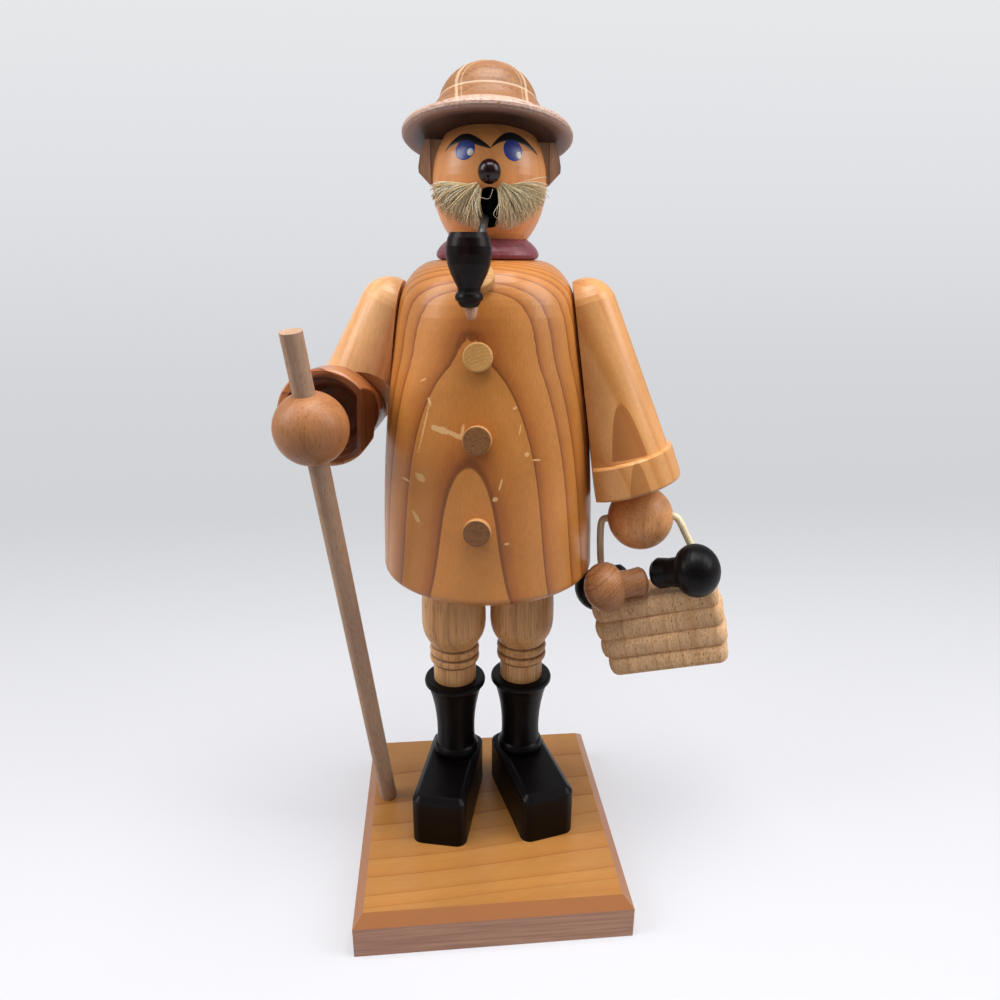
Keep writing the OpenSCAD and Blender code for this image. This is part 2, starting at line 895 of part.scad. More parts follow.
module basket() {
    color("#D9B07C")
    in_basket()
        translate([basket_mid, 0, basket_rim])
            difference() {
                for (k = [0:3])
                    translate([0, 0, -ridge * (k + 1)])
                        basket_ridge(basket_width - 2 * ridge_trim[k], basket_depth - (k == 3 ? 1 : 0));
                for (x = [left_leg_x, right_leg_x])
                    translate([x - basket_mid, 0, -4]) cylinder(r = cane_r + glue_gap, h = 5);
            }
}

// The handle's two legs, from inside the bore down into the basket's top.
// Their first points lie on the bore's own axis
bore_fall = basket_tilt - handle_tilt;
function on_bore(d) = [d * cos(bore_fall), 0, -d * sin(bore_fall)];
left_leg = [
    on_bore(-10.1), on_bore(-11), on_bore(-11.9), [-13.4, 0, 1.9], [-14.6, 0, 0.2], [-15.7, 0, -3.2],
    [-16.8, 0, -7.5], [-18, 0, -13], [-19.2, 0, -20], [-20, 0, -28], [-20.1, 0, basket_rim - 3]
];
right_leg = [
    on_bore(10.1), on_bore(11), on_bore(11.9), [12.8, 0, -2.9], [13.6, 0, -5], [14.2, 0, -8],
    [15.1, 0, -12.5], [16.8, 0, -20], [18.1, 0, -28], [18.2, 0, basket_rim - 3]
];
left_leg_x = -20.1;
right_leg_x = 18.2;

module basket_handle() {
    color("#E3CF9A") {
        handle_frame() rotate([0, 90, 0]) cylinder(r = cane_r, h = 2 * hand_r + 0.3, center = true);
        in_basket() {
            tube_along(left_leg, cane_r - 0.08, 24, 12);
            tube_along(right_leg, cane_r - 0.08, 22, 12);
        }
    }
}

// Turned mushroom: cap centre at the origin, dome towards +Z
module mushroom(cap, stem, length, under) {
    rotate_extrude()
        polygon(concat(
            [for (i = [0:9]) let (a = 90 - 10 * i) [cap * cos(a), 0.86 * cap * sin(a)]],
            [
                [cap * 0.97, -under * 0.4], [cap * 0.87, -under * 0.76],
                [cap * 0.72, -under * 0.96], [stem, -under],
                [stem * 0.94, -length * 0.6], [stem * 1.02, -length * 0.86],
                [stem * 0.86, -length * 0.95], [stem * 0.5, -length], [0, -length]
            ]
        ));
}

module mushroom_at(at, dir, cap, stem, length, under) {
    in_basket()
        difference() {
            translate(at)
                rotate([0, acos(dir[2] / norm(dir)), atan2(dir[1], dir[0])])
                    mushroom(cap, stem, length, under);
            // Sanded flat where it is glued to the basket
            translate([basket_mid, 0, basket_rim + glue_gap - 20])
                linear_extrude(20)
                    square([basket_width + 2 * glue_gap, basket_depth + 2 * glue_gap], center = true);
        }
}

module brown_mushroom() {
    color("#A5703F") mushroom_at([-16.4, -12, -20], [-0.88, -0.42, 0.16], 9.2, 5.2, 15.4, 5);
}

module dark_mushroom() {
    color("#2B221E") mushroom_at([16, -11.4, -19.4], [0.88, -0.42, 0.1], 9.5, 5.6, 17, 5);
}

module rear_mushroom() {
    color("#2B221E") mushroom_at([-24.6, 6.2, -28], [-0.9, 0.1, -0.42], 8.6, 3.7, 15, 2.4);
}

// Moustache: a fan of bristles growing out of a thin strip of backing, all one
// closed solid. u runs across the fan, v from the face outwards, t along a strand

fan_centre = [1.1, 254.6];
fan_root = 2.6;
fan_first = 12;
fan_sweep = 80;

function fan_point(u, v, t) =
    let (
        a = fan_first + fan_sweep * u - 9 * u * t,
        far = 13.2 + 2.5 * sin(1.5 * fan_sweep * u) + 0.8 * sin(900 * u + 500 * v),
        reach = fan_root + (far - fan_root) * t,
        along = fan_centre[0] + reach * sin(a),
        z = fan_centre[1] - reach * cos(a),
        off = head_at(z) + 0.45 + 1.5 * v * (0.8 + 0.7 * t) + 2.4 * t * (1 - 0.62 * t),
        az = along / 18.2 * 180 / PI
    )
    [off * sin(az), -off * cos(az), z];

module moustache() {
    n = strand_columns;
    m = strand_layers;
    levels = [0, 0.33, 0.68, 1];
    deep = -0.05;
    // Corners of a strand's section inside its cell, and how it thins to the tip
    tri = [[-0.4, -0.4], [0.4, -0.4], [0, 0.4]];
    thin = [1, 0.62, 0.4, 0.2];
    face_grid = [for (j = [0:m], i = [0:n]) fan_point(i / n, j / m, 0)];
    back_grid = [for (j = [0:m], i = [0:n]) fan_point(i / n, j / m, deep)];
    hairs = [for (j = [0:m - 1], i = [0:n - 1], k = [0:3], c = tri)
        fan_point((i + 0.5 + c[0] * thin[k]) / n, (j + 0.5 + c[1] * thin[k]) / m, levels[k])];
    g = (n + 1) * (m + 1);
    cells = [for (j = [0:m - 1], i = [0:n - 1])
        let (
            a = j * (n + 1) + i, b = a + 1, c = b + n + 1, d = a + n + 1,
            p = 2 * g + 12 * (j * n + i), q = p + 1, r = p + 2
        )
        each [[a, b, q], [a, q, p], [b, c, q], [c, r, q], [c, d, r], [d, p, r], [d, a, p]]];
    walls = [for (h = [0:n * m - 1], k = [0:2], e = [0:2])
        let (a = 2 * g + 12 * h + 3 * k + e, b = 2 * g + 12 * h + 3 * k + (e + 1) % 3)
        each [[a, b, a + 3], [b, b + 3, a + 3]]];
    tips = [for (h = [0:n * m - 1]) let (a = 2 * g + 12 * h + 9) [a, a + 1, a + 2]];
    back = [for (j = [0:m - 1], i = [0:n - 1])
        let (a = g + j * (n + 1) + i, b = a + 1, c = b + n + 1, d = a + n + 1)
        each [[a, c, b], [a, d, c]]];
    low = [for (i = [0:n - 1]) each [[i, g + i, i + 1], [i + 1, g + i, g + i + 1]]];
    high = [for (i = [0:n - 1])
        let (a = m * (n + 1) + i)
        each [[a, a + 1, g + a], [a + 1, g + a + 1, g + a]]];
    near = [for (j = [0:m - 1])
        let (a = j * (n + 1), b = a + n + 1)
        each [[a, b, g + a], [b, g + b, g + a]]];
    far = [for (j = [0:m - 1])
        let (a = j * (n + 1) + n, b = a + n + 1)
        each [[a, g + a, b], [b, g + a, g + b]]];
    polyhedron(
        points = concat(face_grid, back_grid, hairs),
        faces = concat(cells, walls, tips, back, low, high, near, far),
        convexity = 10
    );
}

module left_moustache() {
    color("#DCC79A") in_head() moustache();
}

module right_moustache() {
    color("#DCC79A") in_head() mirror([1, 0, 0]) moustache();
}
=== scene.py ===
"""German incense smoker with a walking stick and a mushroom basket: finishes, bristles and
painted face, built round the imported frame. Lengths are written in mm and turned to metres by MM."""

import math

import bpy
import numpy as np
from mathutils import Matrix, Vector


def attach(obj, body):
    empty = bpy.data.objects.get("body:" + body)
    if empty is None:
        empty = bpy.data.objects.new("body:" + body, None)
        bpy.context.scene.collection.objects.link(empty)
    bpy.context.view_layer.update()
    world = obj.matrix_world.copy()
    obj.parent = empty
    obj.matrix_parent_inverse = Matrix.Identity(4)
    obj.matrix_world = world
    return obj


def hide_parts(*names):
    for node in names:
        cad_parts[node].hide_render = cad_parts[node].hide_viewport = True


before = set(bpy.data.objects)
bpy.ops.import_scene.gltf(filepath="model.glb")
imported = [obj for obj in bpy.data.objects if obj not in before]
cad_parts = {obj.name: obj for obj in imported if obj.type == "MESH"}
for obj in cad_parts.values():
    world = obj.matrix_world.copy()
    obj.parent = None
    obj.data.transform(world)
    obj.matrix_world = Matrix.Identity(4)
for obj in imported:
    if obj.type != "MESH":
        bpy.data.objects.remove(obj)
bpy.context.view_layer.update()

MM = 0.001

# The upright axis that the coat, the head's depth and the hat were turned round
FIGURE_X, FIGURE_Y = 2.0, 13.8
# The coat's side, from its hem up to where its shoulder bends
COAT_HEM, COAT_SIDE, COAT_RADIUS = 121.5, 92.0, 39.2
# The egg of the head: its axis, the height of its middle, its radius and its half height
HEAD_X, HEAD_Y, HEAD_MID, HEAD_R, HEAD_UP = 2.7, FIGURE_Y, 256.0, 18.5, 23.0

# Small tools


def linear(code, alpha=1.0):
    """An sRGB hex colour as Blender's linear numbers."""
    parts = [int(code[i : i + 2], 16) / 255 for i in (1, 3, 5)]
    return (*[c / 12.92 if c <= 0.04045 else ((c + 0.055) / 1.055) ** 2.4 for c in parts], alpha)


def add(tree, kind, inputs=None, stops=None, points=None, **settings):
    """Adds a node. settings are its properties, inputs its sockets' values or the nodes and
    sockets that feed them, stops a colour ramp's stops and points a curve's points."""
    node = tree.nodes.new("ShaderNode" + kind)
    for name, value in settings.items():
        setattr(node, name, value)
    if stops:
        ramp = node.color_ramp
        while len(ramp.elements) < len(stops):
            ramp.elements.new(0.5)
        for element, (place, code) in zip(ramp.elements, stops):
            element.position = place
            element.color = linear(code)
    if points:
        curve = node.mapping.curves[0]
        while len(curve.points) < len(points):
            curve.points.new(0.5, 0.5)
        for point, place in zip(curve.points, points):
            point.location = place
            point.handle_type = "VECTOR"
        node.mapping.update()
    sockets = [s for s in node.inputs if s.enabled]
    for key, value in (inputs or {}).items():
        socket = sockets[key] if isinstance(key, int) else next(s for s in sockets if s.name == key)
        if isinstance(value, bpy.types.Node):
            value = next(s for s in value.outputs if s.enabled)
        if isinstance(value, bpy.types.NodeSocket):
            tree.links.new(value, socket)
        else:
            socket.default_value = value
    return node


def new_material(name):
    """An empty material and its node tree."""
    material = bpy.data.materials.new(name)
    material.use_nodes = True
    material.node_tree.nodes.clear()
    return material, material.node_tree


def closed_grid(rows, columns, wrap=True):
    """Quads of a grid of rows x columns points, its columns joined round when wrap is true."""
    i = np.arange(rows - 1)[:, None]
    j = np.arange(columns if wrap else columns - 1)[None, :]
    a = i * columns + j
    b = i * columns + (j + 1) % columns
    return np.stack([a, b, b + columns, a + columns], axis=-1).reshape(-1, 4)


def piece(name, body, material, points, faces, tones=None, stands_for=()):
    """A mesh object of points in mm that rides on a body and takes its finish from a slot. tones
    gives each point a tone for its material, stands_for names the nodes that it is shown for."""
    mesh = bpy.data.meshes.new(name)
    mesh.from_pydata((np.asarray(points) * MM).tolist(), [], [list(map(int, f)) for f in faces])
    mesh.validate()
    mesh.polygons.foreach_set("use_smooth", np.ones(len(mesh.polygons), bool))
    if tones is not None:
        mesh.attributes.new("tone", "FLOAT", "POINT").data.foreach_set("value", np.asarray(tones, np.float32))
    mesh.materials.append(material)
    made = bpy.data.objects.new(name, mesh)
    bpy.context.scene.collection.objects.link(made)
    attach(made, body)
    if stands_for:
        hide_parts(*stands_for)
    return made


# Wood: growth rings round a pith line, fibres along it, and a finish over them


def timber(
    name, stops, pith, lean=(0, 0, 0), ring=3.0, radii=None, wander=(1.2, 30), fibre=0.3,
    fibre_mm=(0.45, 9), mottle=0.15, pores=0.0, pore_mm=(0.4, 3.0), pore_colour="#5A3218",
    roughness=0.45, varnish=0.0, varnish_roughness=0.12, grain_depth=0.03, taper=(0, 0),
    gloss=0.3, evened=None, finish=None,
):
    """Solid wood. A point's ring age is its distance from the pith line, measured in ring widths
    or read from the listed radii, and the ramp gives the colour from one winter to the next.
    Lengths are in mm, lean turns the pith line from upright, in degrees. taper (a, b) widens the
    rings' cones: a z + b z^2 / 100 is added to the distance at height z along the pith."""
    material, tree = new_material(name)
    place = add(tree, "TexCoord").outputs["Object"]
    true_place = evened(tree, place) if evened else place
    stem = add(
        tree, "Mapping", {
            "Vector": true_place, "Location": [c * MM for c in pith],
            "Rotation": [math.radians(a) for a in lean],
        },
        vector_type="TEXTURE",
    )
    # Slow bends of the rings, longest along the grain
    sway, size = wander
    drift = add(
        tree, "VectorMath", {0: stem, 1: (1 / (size * MM), 1 / (size * MM), 0.3 / (size * MM))},
        operation="MULTIPLY",
    )
    bends = add(tree, "TexNoise", {"Vector": drift, "Scale": 1.0, "Detail": 2.0, "Roughness": 0.5})
    bent = add(
        tree, "VectorMath", {0: bends.outputs["Color"], 1: (2 * sway * MM, 2 * sway * MM, 0), 2: stem},
        operation="MULTIPLY_ADD",
    )
    centred = add(tree, "VectorMath", {0: bent, 1: (sway * MM, sway * MM, 0)}, operation="SUBTRACT")
    across = add(tree, "VectorMath", {0: centred, 1: (1, 1, 0)}, operation="MULTIPLY")
    radius = add(tree, "VectorMath", {0: across}, operation="LENGTH").outputs["Value"]
    if any(taper):
        height = add(tree, "SeparateXYZ", {"Vector": stem}).outputs["Z"]
        slope = add(
            tree, "Math", {0: height, 1: taper[1] / (100 * MM), 2: taper[0]}, operation="MULTIPLY_ADD",
        )
        radius = add(tree, "Math", {0: height, 1: slope, 2: radius}, operation="MULTIPLY_ADD")
    if radii:
        low = [radii[0] - ring * k for k in range(min(int(radii[0] / ring), 11), 0, -1)]
        steps = [*low, *radii, *[radii[-1] + ring * k for k in range(1, 5)]]
        start, span, count = steps[0], steps[-1] - steps[0], len(steps) - 1
        share = add(
            tree, "MapRange",
            {"Value": radius, "From Min": start * MM, "From Max": (start + span) * MM},
        )
        even = add(
            tree, "FloatCurve", {"Value": share},
            points=[((r - start) / span, k / count) for k, r in enumerate(steps)],
        )
        age = add(tree, "Math", {0: even, 1: float(count)}, operation="MULTIPLY")
    else:
        years = add(tree, "Math", {0: radius, 1: 1 / (ring * MM)}, operation="MULTIPLY")
        fat_years = add(tree, "TexNoise", {"W": years, "Scale": 0.7, "Detail": 1.0}, noise_dimensions="1D")
        age = add(tree, "Math", {0: fat_years, 1: 1.4, 2: years}, operation="MULTIPLY_ADD")
    season = add(tree, "Math", {0: age}, operation="FRACT")
    year = add(tree, "Math", {0: age}, operation="FLOOR")
    colour = add(tree, "ValToRGB", {"Fac": season}, stops=stops)
    # Each year has its own tone, and the fibres run along the stem in fine streaks
    luck = add(tree, "TexWhiteNoise", {"W": year}, noise_dimensions="1D")
    thin, long = fibre_mm
    along = add(
        tree, "VectorMath", {0: centred, 1: (1 / (thin * MM), 1 / (thin * MM), 1 / (long * MM))},
        operation="MULTIPLY",
    )
    fibres = add(tree, "TexNoise", {"Vector": along, "Scale": 1.0, "Detail": 3.0, "Roughness": 0.6})
    cloud = add(tree, "TexNoise", {"Vector": place, "Scale": 38.0, "Detail": 3.0, "Roughness": 0.55})
    streak = add(
        tree, "MapRange",
        {
            "Value": fibres, "From Min": 0.3, "From Max": 0.7, "To Min": 1 - fibre,
            "To Max": 1 + 0.45 * fibre,
        },
    )
    patch = add(
        tree, "MapRange",
        {"Value": cloud, "From Min": 0.3, "From Max": 0.7, "To Min": 1 - mottle, "To Max": 1 + mottle},
    )
    turn = add(
        tree, "MapRange",
        {"Value": luck.outputs["Value"], "To Min": 1 - 0.35 * mottle, "To Max": 1 + 0.35 * mottle},
    )
    light = add(tree, "Math", {0: streak, 1: patch}, operation="MULTIPLY")
    light = add(tree, "Math", {0: light, 1: turn}, operation="MULTIPLY")
    colour = add(tree, "HueSaturation", {"Color": colour, "Value": light})
    if pores:
        thin, long = pore_mm
        fleck = add(
            tree, "VectorMath", {0: centred, 1: (1 / (thin * MM), 1 / (thin * MM), 1 / (long * MM))},
            operation="MULTIPLY",
        )
        vessels = add(tree, "TexNoise", {"Vector": fleck, "Scale": 0.8, "Detail": 1.0, "Roughness": 0.4})
        open_pore = add(
            tree, "MapRange", {"Value": vessels, "From Min": 0.6, "From Max": 0.7, "To Max": pores},
        )
        colour = add(
            tree, "Mix", {"Factor": open_pore, "A": colour, "B": linear(pore_colour)}, data_type="RGBA",
        )
    rough = add(tree, "MapRange", {"Value": fibres, "To Min": roughness + 0.08, "To Max": roughness - 0.06})
    if finish:
        colour = finish(tree, place, colour)
    bump = add(tree, "Bump", {"Height": fibres, "Strength": 0.6, "Distance": grain_depth * MM})
    shader = add(
        tree, "BsdfPrincipled",
        {
            "Base Color": colour, "Roughness": rough, "IOR": 1.5, "Specular IOR Level": gloss,
            "Normal": bump, "Coat Weight": varnish, "Coat Roughness": varnish_roughness, "Coat IOR": 1.5,
        },
    )
    add(tree, "OutputMaterial", {"Surface": shader})
    return material


def lines(pale, mid, dark, line):
    """A softwood year: pale early wood, slowly darker, a thin dark winter line, then pale again."""
    return [(0.0, pale), (0.35, pale), (0.72, mid), (0.93, dark), (0.97, line), (0.99, line), (1.0, pale)]


def soft_lines(pale, dark):
    """A quiet hardwood year without a sharp winter line."""
    return [(0.0, pale), (0.6, pale), (0.9, dark), (1.0, pale)]


def scuffed(marks, raw):
    """A finish with small places where the varnish has flaked to raw wood. A mark is its centre,
    its half lengths and its turn about the line of sight from the front."""

    def lay(tree, place, colour):
        edge = add(tree, "TexNoise", {"Vector": place, "Scale": 900.0, "Detail": 3.0, "Roughness": 0.7})
        for centre, half, turn in marks:
            spot = add(
                tree, "Mapping",
                {
                    "Vector": place, "Location": [c * MM for c in centre],
                    "Rotation": (0, math.radians(turn), 0), "Scale": [h * MM for h in half],
                },
                vector_type="TEXTURE",
            )
            reach = add(tree, "VectorMath", {0: spot}, operation="LENGTH").outputs["Value"]
            ragged = add(tree, "Math", {0: edge, 1: -1.5, 2: reach}, operation="MULTIPLY_ADD")
            bare = add(
                tree, "MapRange", {"Value": ragged, "From Min": 0.25, "From Max": 0.05, "To Max": 0.85},
            )
            colour = add(tree, "Mix", {"Factor": bare, "A": colour, "B": linear(raw)}, data_type="RGBA")
        return colour

    return lay


def seen_from(tree, direction, low, high):
    """0 where a face looks away from direction and 1 where it looks along it, between two cosines."""
    looks = add(
        tree, "VectorMath", {0: add(tree, "TexCoord").outputs["Normal"], 1: direction},
        operation="DOT_PRODUCT",
    )
    return add(tree, "MapRange", {"Value": looks.outputs["Value"], "From Min": low, "From Max": high})


def egg_spot(tree, place, centre, half, turn, sharp):
    """1 inside an egg of half lengths half round centre, turned about the Y axis, 0 outside."""
    spot = add(
        tree, "Mapping",
        {
            "Vector": place, "Location": [c * MM for c in centre],
            "Rotation": (0, math.radians(turn), 0), "Scale": [h * MM for h in half],
        },
        vector_type="TEXTURE",
    )
    reach = add(tree, "VectorMath", {0: spot}, operation="LENGTH").outputs["Value"]
    return add(tree, "MapRange", {"Value": reach, "From Min": 1.0 + sharp, "From Max": 1.0 - sharp})


def late_patch(tree, place, colour):
    """The turned sleeve cuts one dark year as a pointed patch above the cuff, and again on the
    cuff: seen from the front, inside is where v + u^2 < 1 and v > 0, u and v being the distances
    across and along the patch over its half width and its length."""
    for (x, z), (half, length), turn, share in (
        ((48.4, 169.2), (6.0, 18.6), -12, 0.8), ((51.9, 157.0), (3.7, 11.9), -10, 0.6),
    ):
        spot = add(
            tree, "Mapping",
            {
                "Vector": place, "Location": (x * MM, 0, z * MM), "Rotation": (0, math.radians(turn), 0),
                "Scale": (half * MM, 1, length * MM),
            },
            vector_type="TEXTURE",
        )
        parts = add(tree, "SeparateXYZ", {"Vector": spot})
        square = add(
            tree, "Math", {0: parts.outputs["X"], 1: parts.outputs["X"], 2: parts.outputs["Z"]},
            operation="MULTIPLY_ADD",
        )
        inside = add(tree, "MapRange", {"Value": square, "From Min": 1.03, "From Max": 0.97, "To Max": share})
        above = add(tree, "Math", {0: parts.outputs["Z"], 1: 0.0}, operation="GREATER_THAN")
        front = add(tree, "SeparateXYZ", {"Vector": place}).outputs["Y"]
        front = add(tree, "Math", {0: front, 1: 0.0}, operation="LESS_THAN")
        inside = add(tree, "Math", {0: inside, 1: above}, operation="MULTIPLY")
        inside = add(tree, "Math", {0: inside, 1: front}, operation="MULTIPLY")
        colour = add(tree, "Mix", {"Factor": inside, "A": colour, "B": linear("#9F5E2C")}, data_type="RGBA")
    return colour


def painted_shade_in_hollow(tree, place, colour):
    """The bored hollow of the cuff is coloured dark brown as painted shade, with the bit's faint rings across
    it.
    """
    deep = egg_spot(tree, place, (-51.4, 2.0, 183), (15.3, 29.4, 15.3), 0, 0.015)
    run = add(tree, "VectorMath", {0: place, 1: (60, 900, 60)}, operation="MULTIPLY")
    bit = add(tree, "TexNoise", {"Vector": run, "Scale": 1.0, "Detail": 2.0})
    rough = add(
        tree, "ValToRGB", {"Fac": bit}, stops=[(0.3, "#4A2412"), (0.55, "#6B381C"), (0.75, "#7E4826")],
    )
    return add(tree, "Mix", {"Factor": deep, "A": colour, "B": rough}, data_type="RGBA")


def black_mouth_hollow(tree, place, colour):
    """The mouth's tunnel and the hollow behind it are coloured near black: everything nearer the
    neck line than an egg just under the face."""
    deep = egg_spot(tree, place, (HEAD_X, HEAD_Y, HEAD_MID), (17.4, 17.4, 21.6), 0, 0.012)
    return add(tree, "Mix", {"Factor": deep, "A": colour, "B": linear("#1C0F0A")}, data_type="RGBA")


def sawn_edges(tree, place, colour):
    """The board's upright edges: pinkish brown, with fine level saw lines and closer rings."""
    up = seen_from(tree, (0, 0, 1), 0.78, 0.92)
    run = add(tree, "VectorMath", {0: place, 1: (25, 25, 700)}, operation="MULTIPLY")
    saw = add(tree, "TexNoise", {"Vector": run, "Scale": 1.0, "Detail": 3.0, "Roughness": 0.6})
    side = add(tree, "ValToRGB", {"Fac": saw}, stops=[(0.3, "#9E6A4F"), (0.5, "#BA8366"), (0.7, "#C99878")])
    mid = add(tree, "Mix", {"Factor": 0.8, "A": colour, "B": linear("#9C633E")}, data_type="RGBA")
    bevel = seen_from(tree, (0, 0, 1), 0.05, 0.4)
    low = add(tree, "Mix", {"Factor": bevel, "A": side, "B": mid}, data_type="RGBA")
    return add(tree, "Mix", {"Factor": up, "A": low, "B": colour}, data_type="RGBA")


def end_grain(face, pith_colour, rim):
    """A dowel's sawn end: pores and rays as specks on the face, and a paler turned rim."""

    def lay(tree, place, colour):
        dots = add(tree, "TexVoronoi", {"Vector": place, "Scale": 1900.0})
        speck = add(
            tree, "MapRange",
            {
                "Value": dots.outputs["Distance"], "From Min": 0.15, "From Max": 0.55, "To Min": 1.0,
                "To Max": 0.0,
            },
        )
        cloud = add(tree, "TexNoise", {"Vector": place, "Scale": 700.0, "Detail": 3.0})
        share = add(tree, "MapRange", {"Value": cloud, "From Min": 0.35, "From Max": 0.6})
        share = add(tree, "Math", {0: share, 1: speck}, operation="MULTIPLY")
        sawn = add(
            tree, "Mix", {"Factor": share, "A": linear(face), "B": linear(pith_colour)}, data_type="RGBA",
        )
        toned = add(tree, "Mix", {"Factor": 0.35, "A": sawn, "B": colour}, data_type="RGBA")
        front = seen_from(tree, (-0.16, -0.97, 0.18), 0.72, 0.86)
        return add(tree, "Mix", {"Factor": front, "A": linear(rim), "B": toned}, data_type="RGBA")

    return lay


def turned_side(tree, place):
    """Moves a point of the coat's side straight out or in to the turned profile
    radius - 2.1 t - 6.5 t^2.6, t being its share of the side's height, so that the rings, which
    it cuts at a very flat angle, don't follow the mesh's facets. The move fades out from z = 196
    to z = 202, and above that the point stays where it is."""
    out = add(tree, "VectorMath", {0: place, 1: (FIGURE_X * MM, FIGURE_Y * MM, 0)}, operation="SUBTRACT")
    level = add(tree, "VectorMath", {0: out, 1: (1, 1, 0)}, operation="MULTIPLY")
    reach = add(tree, "VectorMath", {0: level}, operation="LENGTH").outputs["Value"]
    height = add(tree, "SeparateXYZ", {"Vector": place}).outputs["Z"]
    t = add(
        tree, "MapRange",
        {"Value": height, "From Min": COAT_HEM * MM, "From Max": (COAT_HEM + COAT_SIDE) * MM},
    )
    bend = add(tree, "Math", {0: t, 1: 2.6}, operation="POWER")
    bend = add(tree, "Math", {0: bend, 1: -6.5 * MM, 2: COAT_RADIUS * MM}, operation="MULTIPLY_ADD")
    true = add(tree, "Math", {0: t, 1: -2.1 * MM, 2: bend}, operation="MULTIPLY_ADD")
    growth = add(tree, "Math", {0: true, 1: reach}, operation="DIVIDE")
    dome = add(
        tree, "MapRange", {"Value": height, "From Min": 196 * MM, "From Max": 202 * MM},
        interpolation_type="SMOOTHSTEP",
    )
    growth = add(tree, "Mix", {"Factor": dome, "A": growth, "B": 1.0}, data_type="FLOAT")
    moved = add(tree, "VectorMath", {0: level, "Scale": growth}, operation="SCALE")
    shift = add(tree, "VectorMath", {0: moved, 1: level}, operation="SUBTRACT")
    return add(tree, "VectorMath", {0: place, 1: shift}, operation="ADD")


# Turned alder under honey varnish: a satin gloss over a smooth, hardly pored face
honey_varnish = {"roughness": 0.42, "varnish": 0.3, "varnish_roughness": 0.2, "grain_depth": 0.015}
# The coat's turned front cuts the rings to flame-shaped winter lines. Radii from the pith, in mm
coat_rings = [39.907, 41.56, 42.601, 44.086, 45.193]
coat_scuffs = [
    ((-15.6, -17.0, 181.7), (3.4, 6, 1.2), 12), ((-11.0, -19.4, 180.4), (3.2, 6, 0.85), 22),
    ((-8.4, -20.4, 182.0), (0.55, 6, 2.4), 12), ((-18.6, -14.0, 190.2), (0.5, 6, 1.6), -14),
    ((-20.6, -13.8, 181.5), (0.32, 6, 9.0), 14), ((-22.3, -14.4, 165.2), (1.9, 6, 1.3), 30),
    ((-27.0, -9.6, 163.0), (1.7, 6, 0.45), 12), ((-24.1, -14.0, 151.2), (0.9, 6, 2.4), -32),
    ((3.4, -23.4, 164.8), (0.38, 6, 2.3), 16), ((1.6, -23.8, 160.0), (0.9, 6, 0.8), -20),
    ((12.0, -21.3, 174.0), (0.9, 6, 0.9), 0), ((15.2, -20.4, 171.9), (1.8, 6, 0.35), 8),
    ((9.7, -21.0, 182.0), (0.3, 6, 1.8), 12), ((8.1, -20.4, 188.9), (0.7, 6, 0.45), -30),
    ((5.5, -24.5, 144.8), (0.9, 6, 0.5), 0), ((-20.5, -11.5, 196.5), (1.2, 6, 0.35), -35),
]
alder_coat = timber(
    "honey_varnished_alder_coat", lines("#C8823E", "#BE7633", "#A65F27", "#85491D"),
    pith=(3.974, 21.958, 170), lean=(-1.522, 0.353, 0), ring=1.4, radii=coat_rings,
    taper=(0.048, 0.071), wander=(0.05, 18), evened=turned_side, fibre=0.12,
    fibre_mm=(0.4, 2.2), mottle=0.12, finish=scuffed(coat_scuffs, "#E3B67C"), **honey_varnish,
)
# The sleeves were cut with the grain along the arm, and the left one shows a darker year
alder_left_sleeve = timber(
    "honey_varnished_alder_left_sleeve", soft_lines("#D99A5C", "#CB8745"),
    pith=(120, 60, 180), lean=(0, -15.2, 0), ring=7.0, wander=(1.2, 40), fibre=0.12,
    fibre_mm=(0.4, 2.4), mottle=0.1, finish=late_patch, **honey_varnish,
)
alder_right_sleeve = timber(
    "honey_varnished_alder_right_sleeve", soft_lines("#F2B67C", "#E8A466"),
    pith=(-90, 60, 200), lean=(2, 17, 0), ring=6.0, wander=(1.5, 30), fibre=0.13, fibre_mm=(0.5, 4),
    mottle=0.1, **honey_varnish,
)
# The short forearm is cut across the grain: redder, with close dark rings, and painted shade in its cuff's
# hollow
alder_forearm = timber(
    "honey_varnished_alder_forearm", lines("#B97542", "#A8653A", "#94512B", "#6A3518"),
    pith=(-62, -40, 170), lean=(80, 10, 12), ring=5.2, wander=(1.5, 25), fibre=0.16, fibre_mm=(0.5, 4),
    mottle=0.12, roughness=0.44, varnish=0.45, varnish_roughness=0.22, grain_depth=0.02,
    finish=painted_shade_in_hollow,
)
# Lime wood, plainly lacquered: the head has hardly any grain and a peach tone
lime_head = timber(
    "lacquered_lime_head", soft_lines("#F0A05C", "#E99654"), pith=(30, 50, 250), ring=4.0,
    wander=(1.0, 20), fibre=0.07, fibre_mm=(0.5, 3), mottle=0.1, roughness=0.42, varnish=0.4,
    varnish_roughness=0.25, grain_depth=0.01, finish=black_mouth_hollow,
)


def oiled_beech(name, pale, dark):
    """Beech, oiled: the hands' grain stands upright, with short dark flecks along it."""
    return timber(
        name, soft_lines(pale, dark), pith=(-260, 200, 170), lean=(2, -3, 0), ring=6.0,
        wander=(1.4, 25), fibre=0.2, fibre_mm=(0.6, 9), mottle=0.16, pores=0.5, pore_mm=(0.35, 2.2),
        pore_colour="#6E3F24", roughness=0.5, varnish=0.18, varnish_roughness=0.3, grain_depth=0.02,
    )


# The right hand's tones are darkened, a painted shade; the beech is the same as the left hand's
right_hand_painted_shade_beech = oiled_beech("oiled_beech_painted_shade_right_hand", "#B4784A", "#A86E42")
# The left hand is the same beech coloured paler, a painted light against the cuff's shade over it
left_hand_painted_light_beech = oiled_beech("oiled_beech_painted_light_left_hand", "#EAA468", "#DC965C")


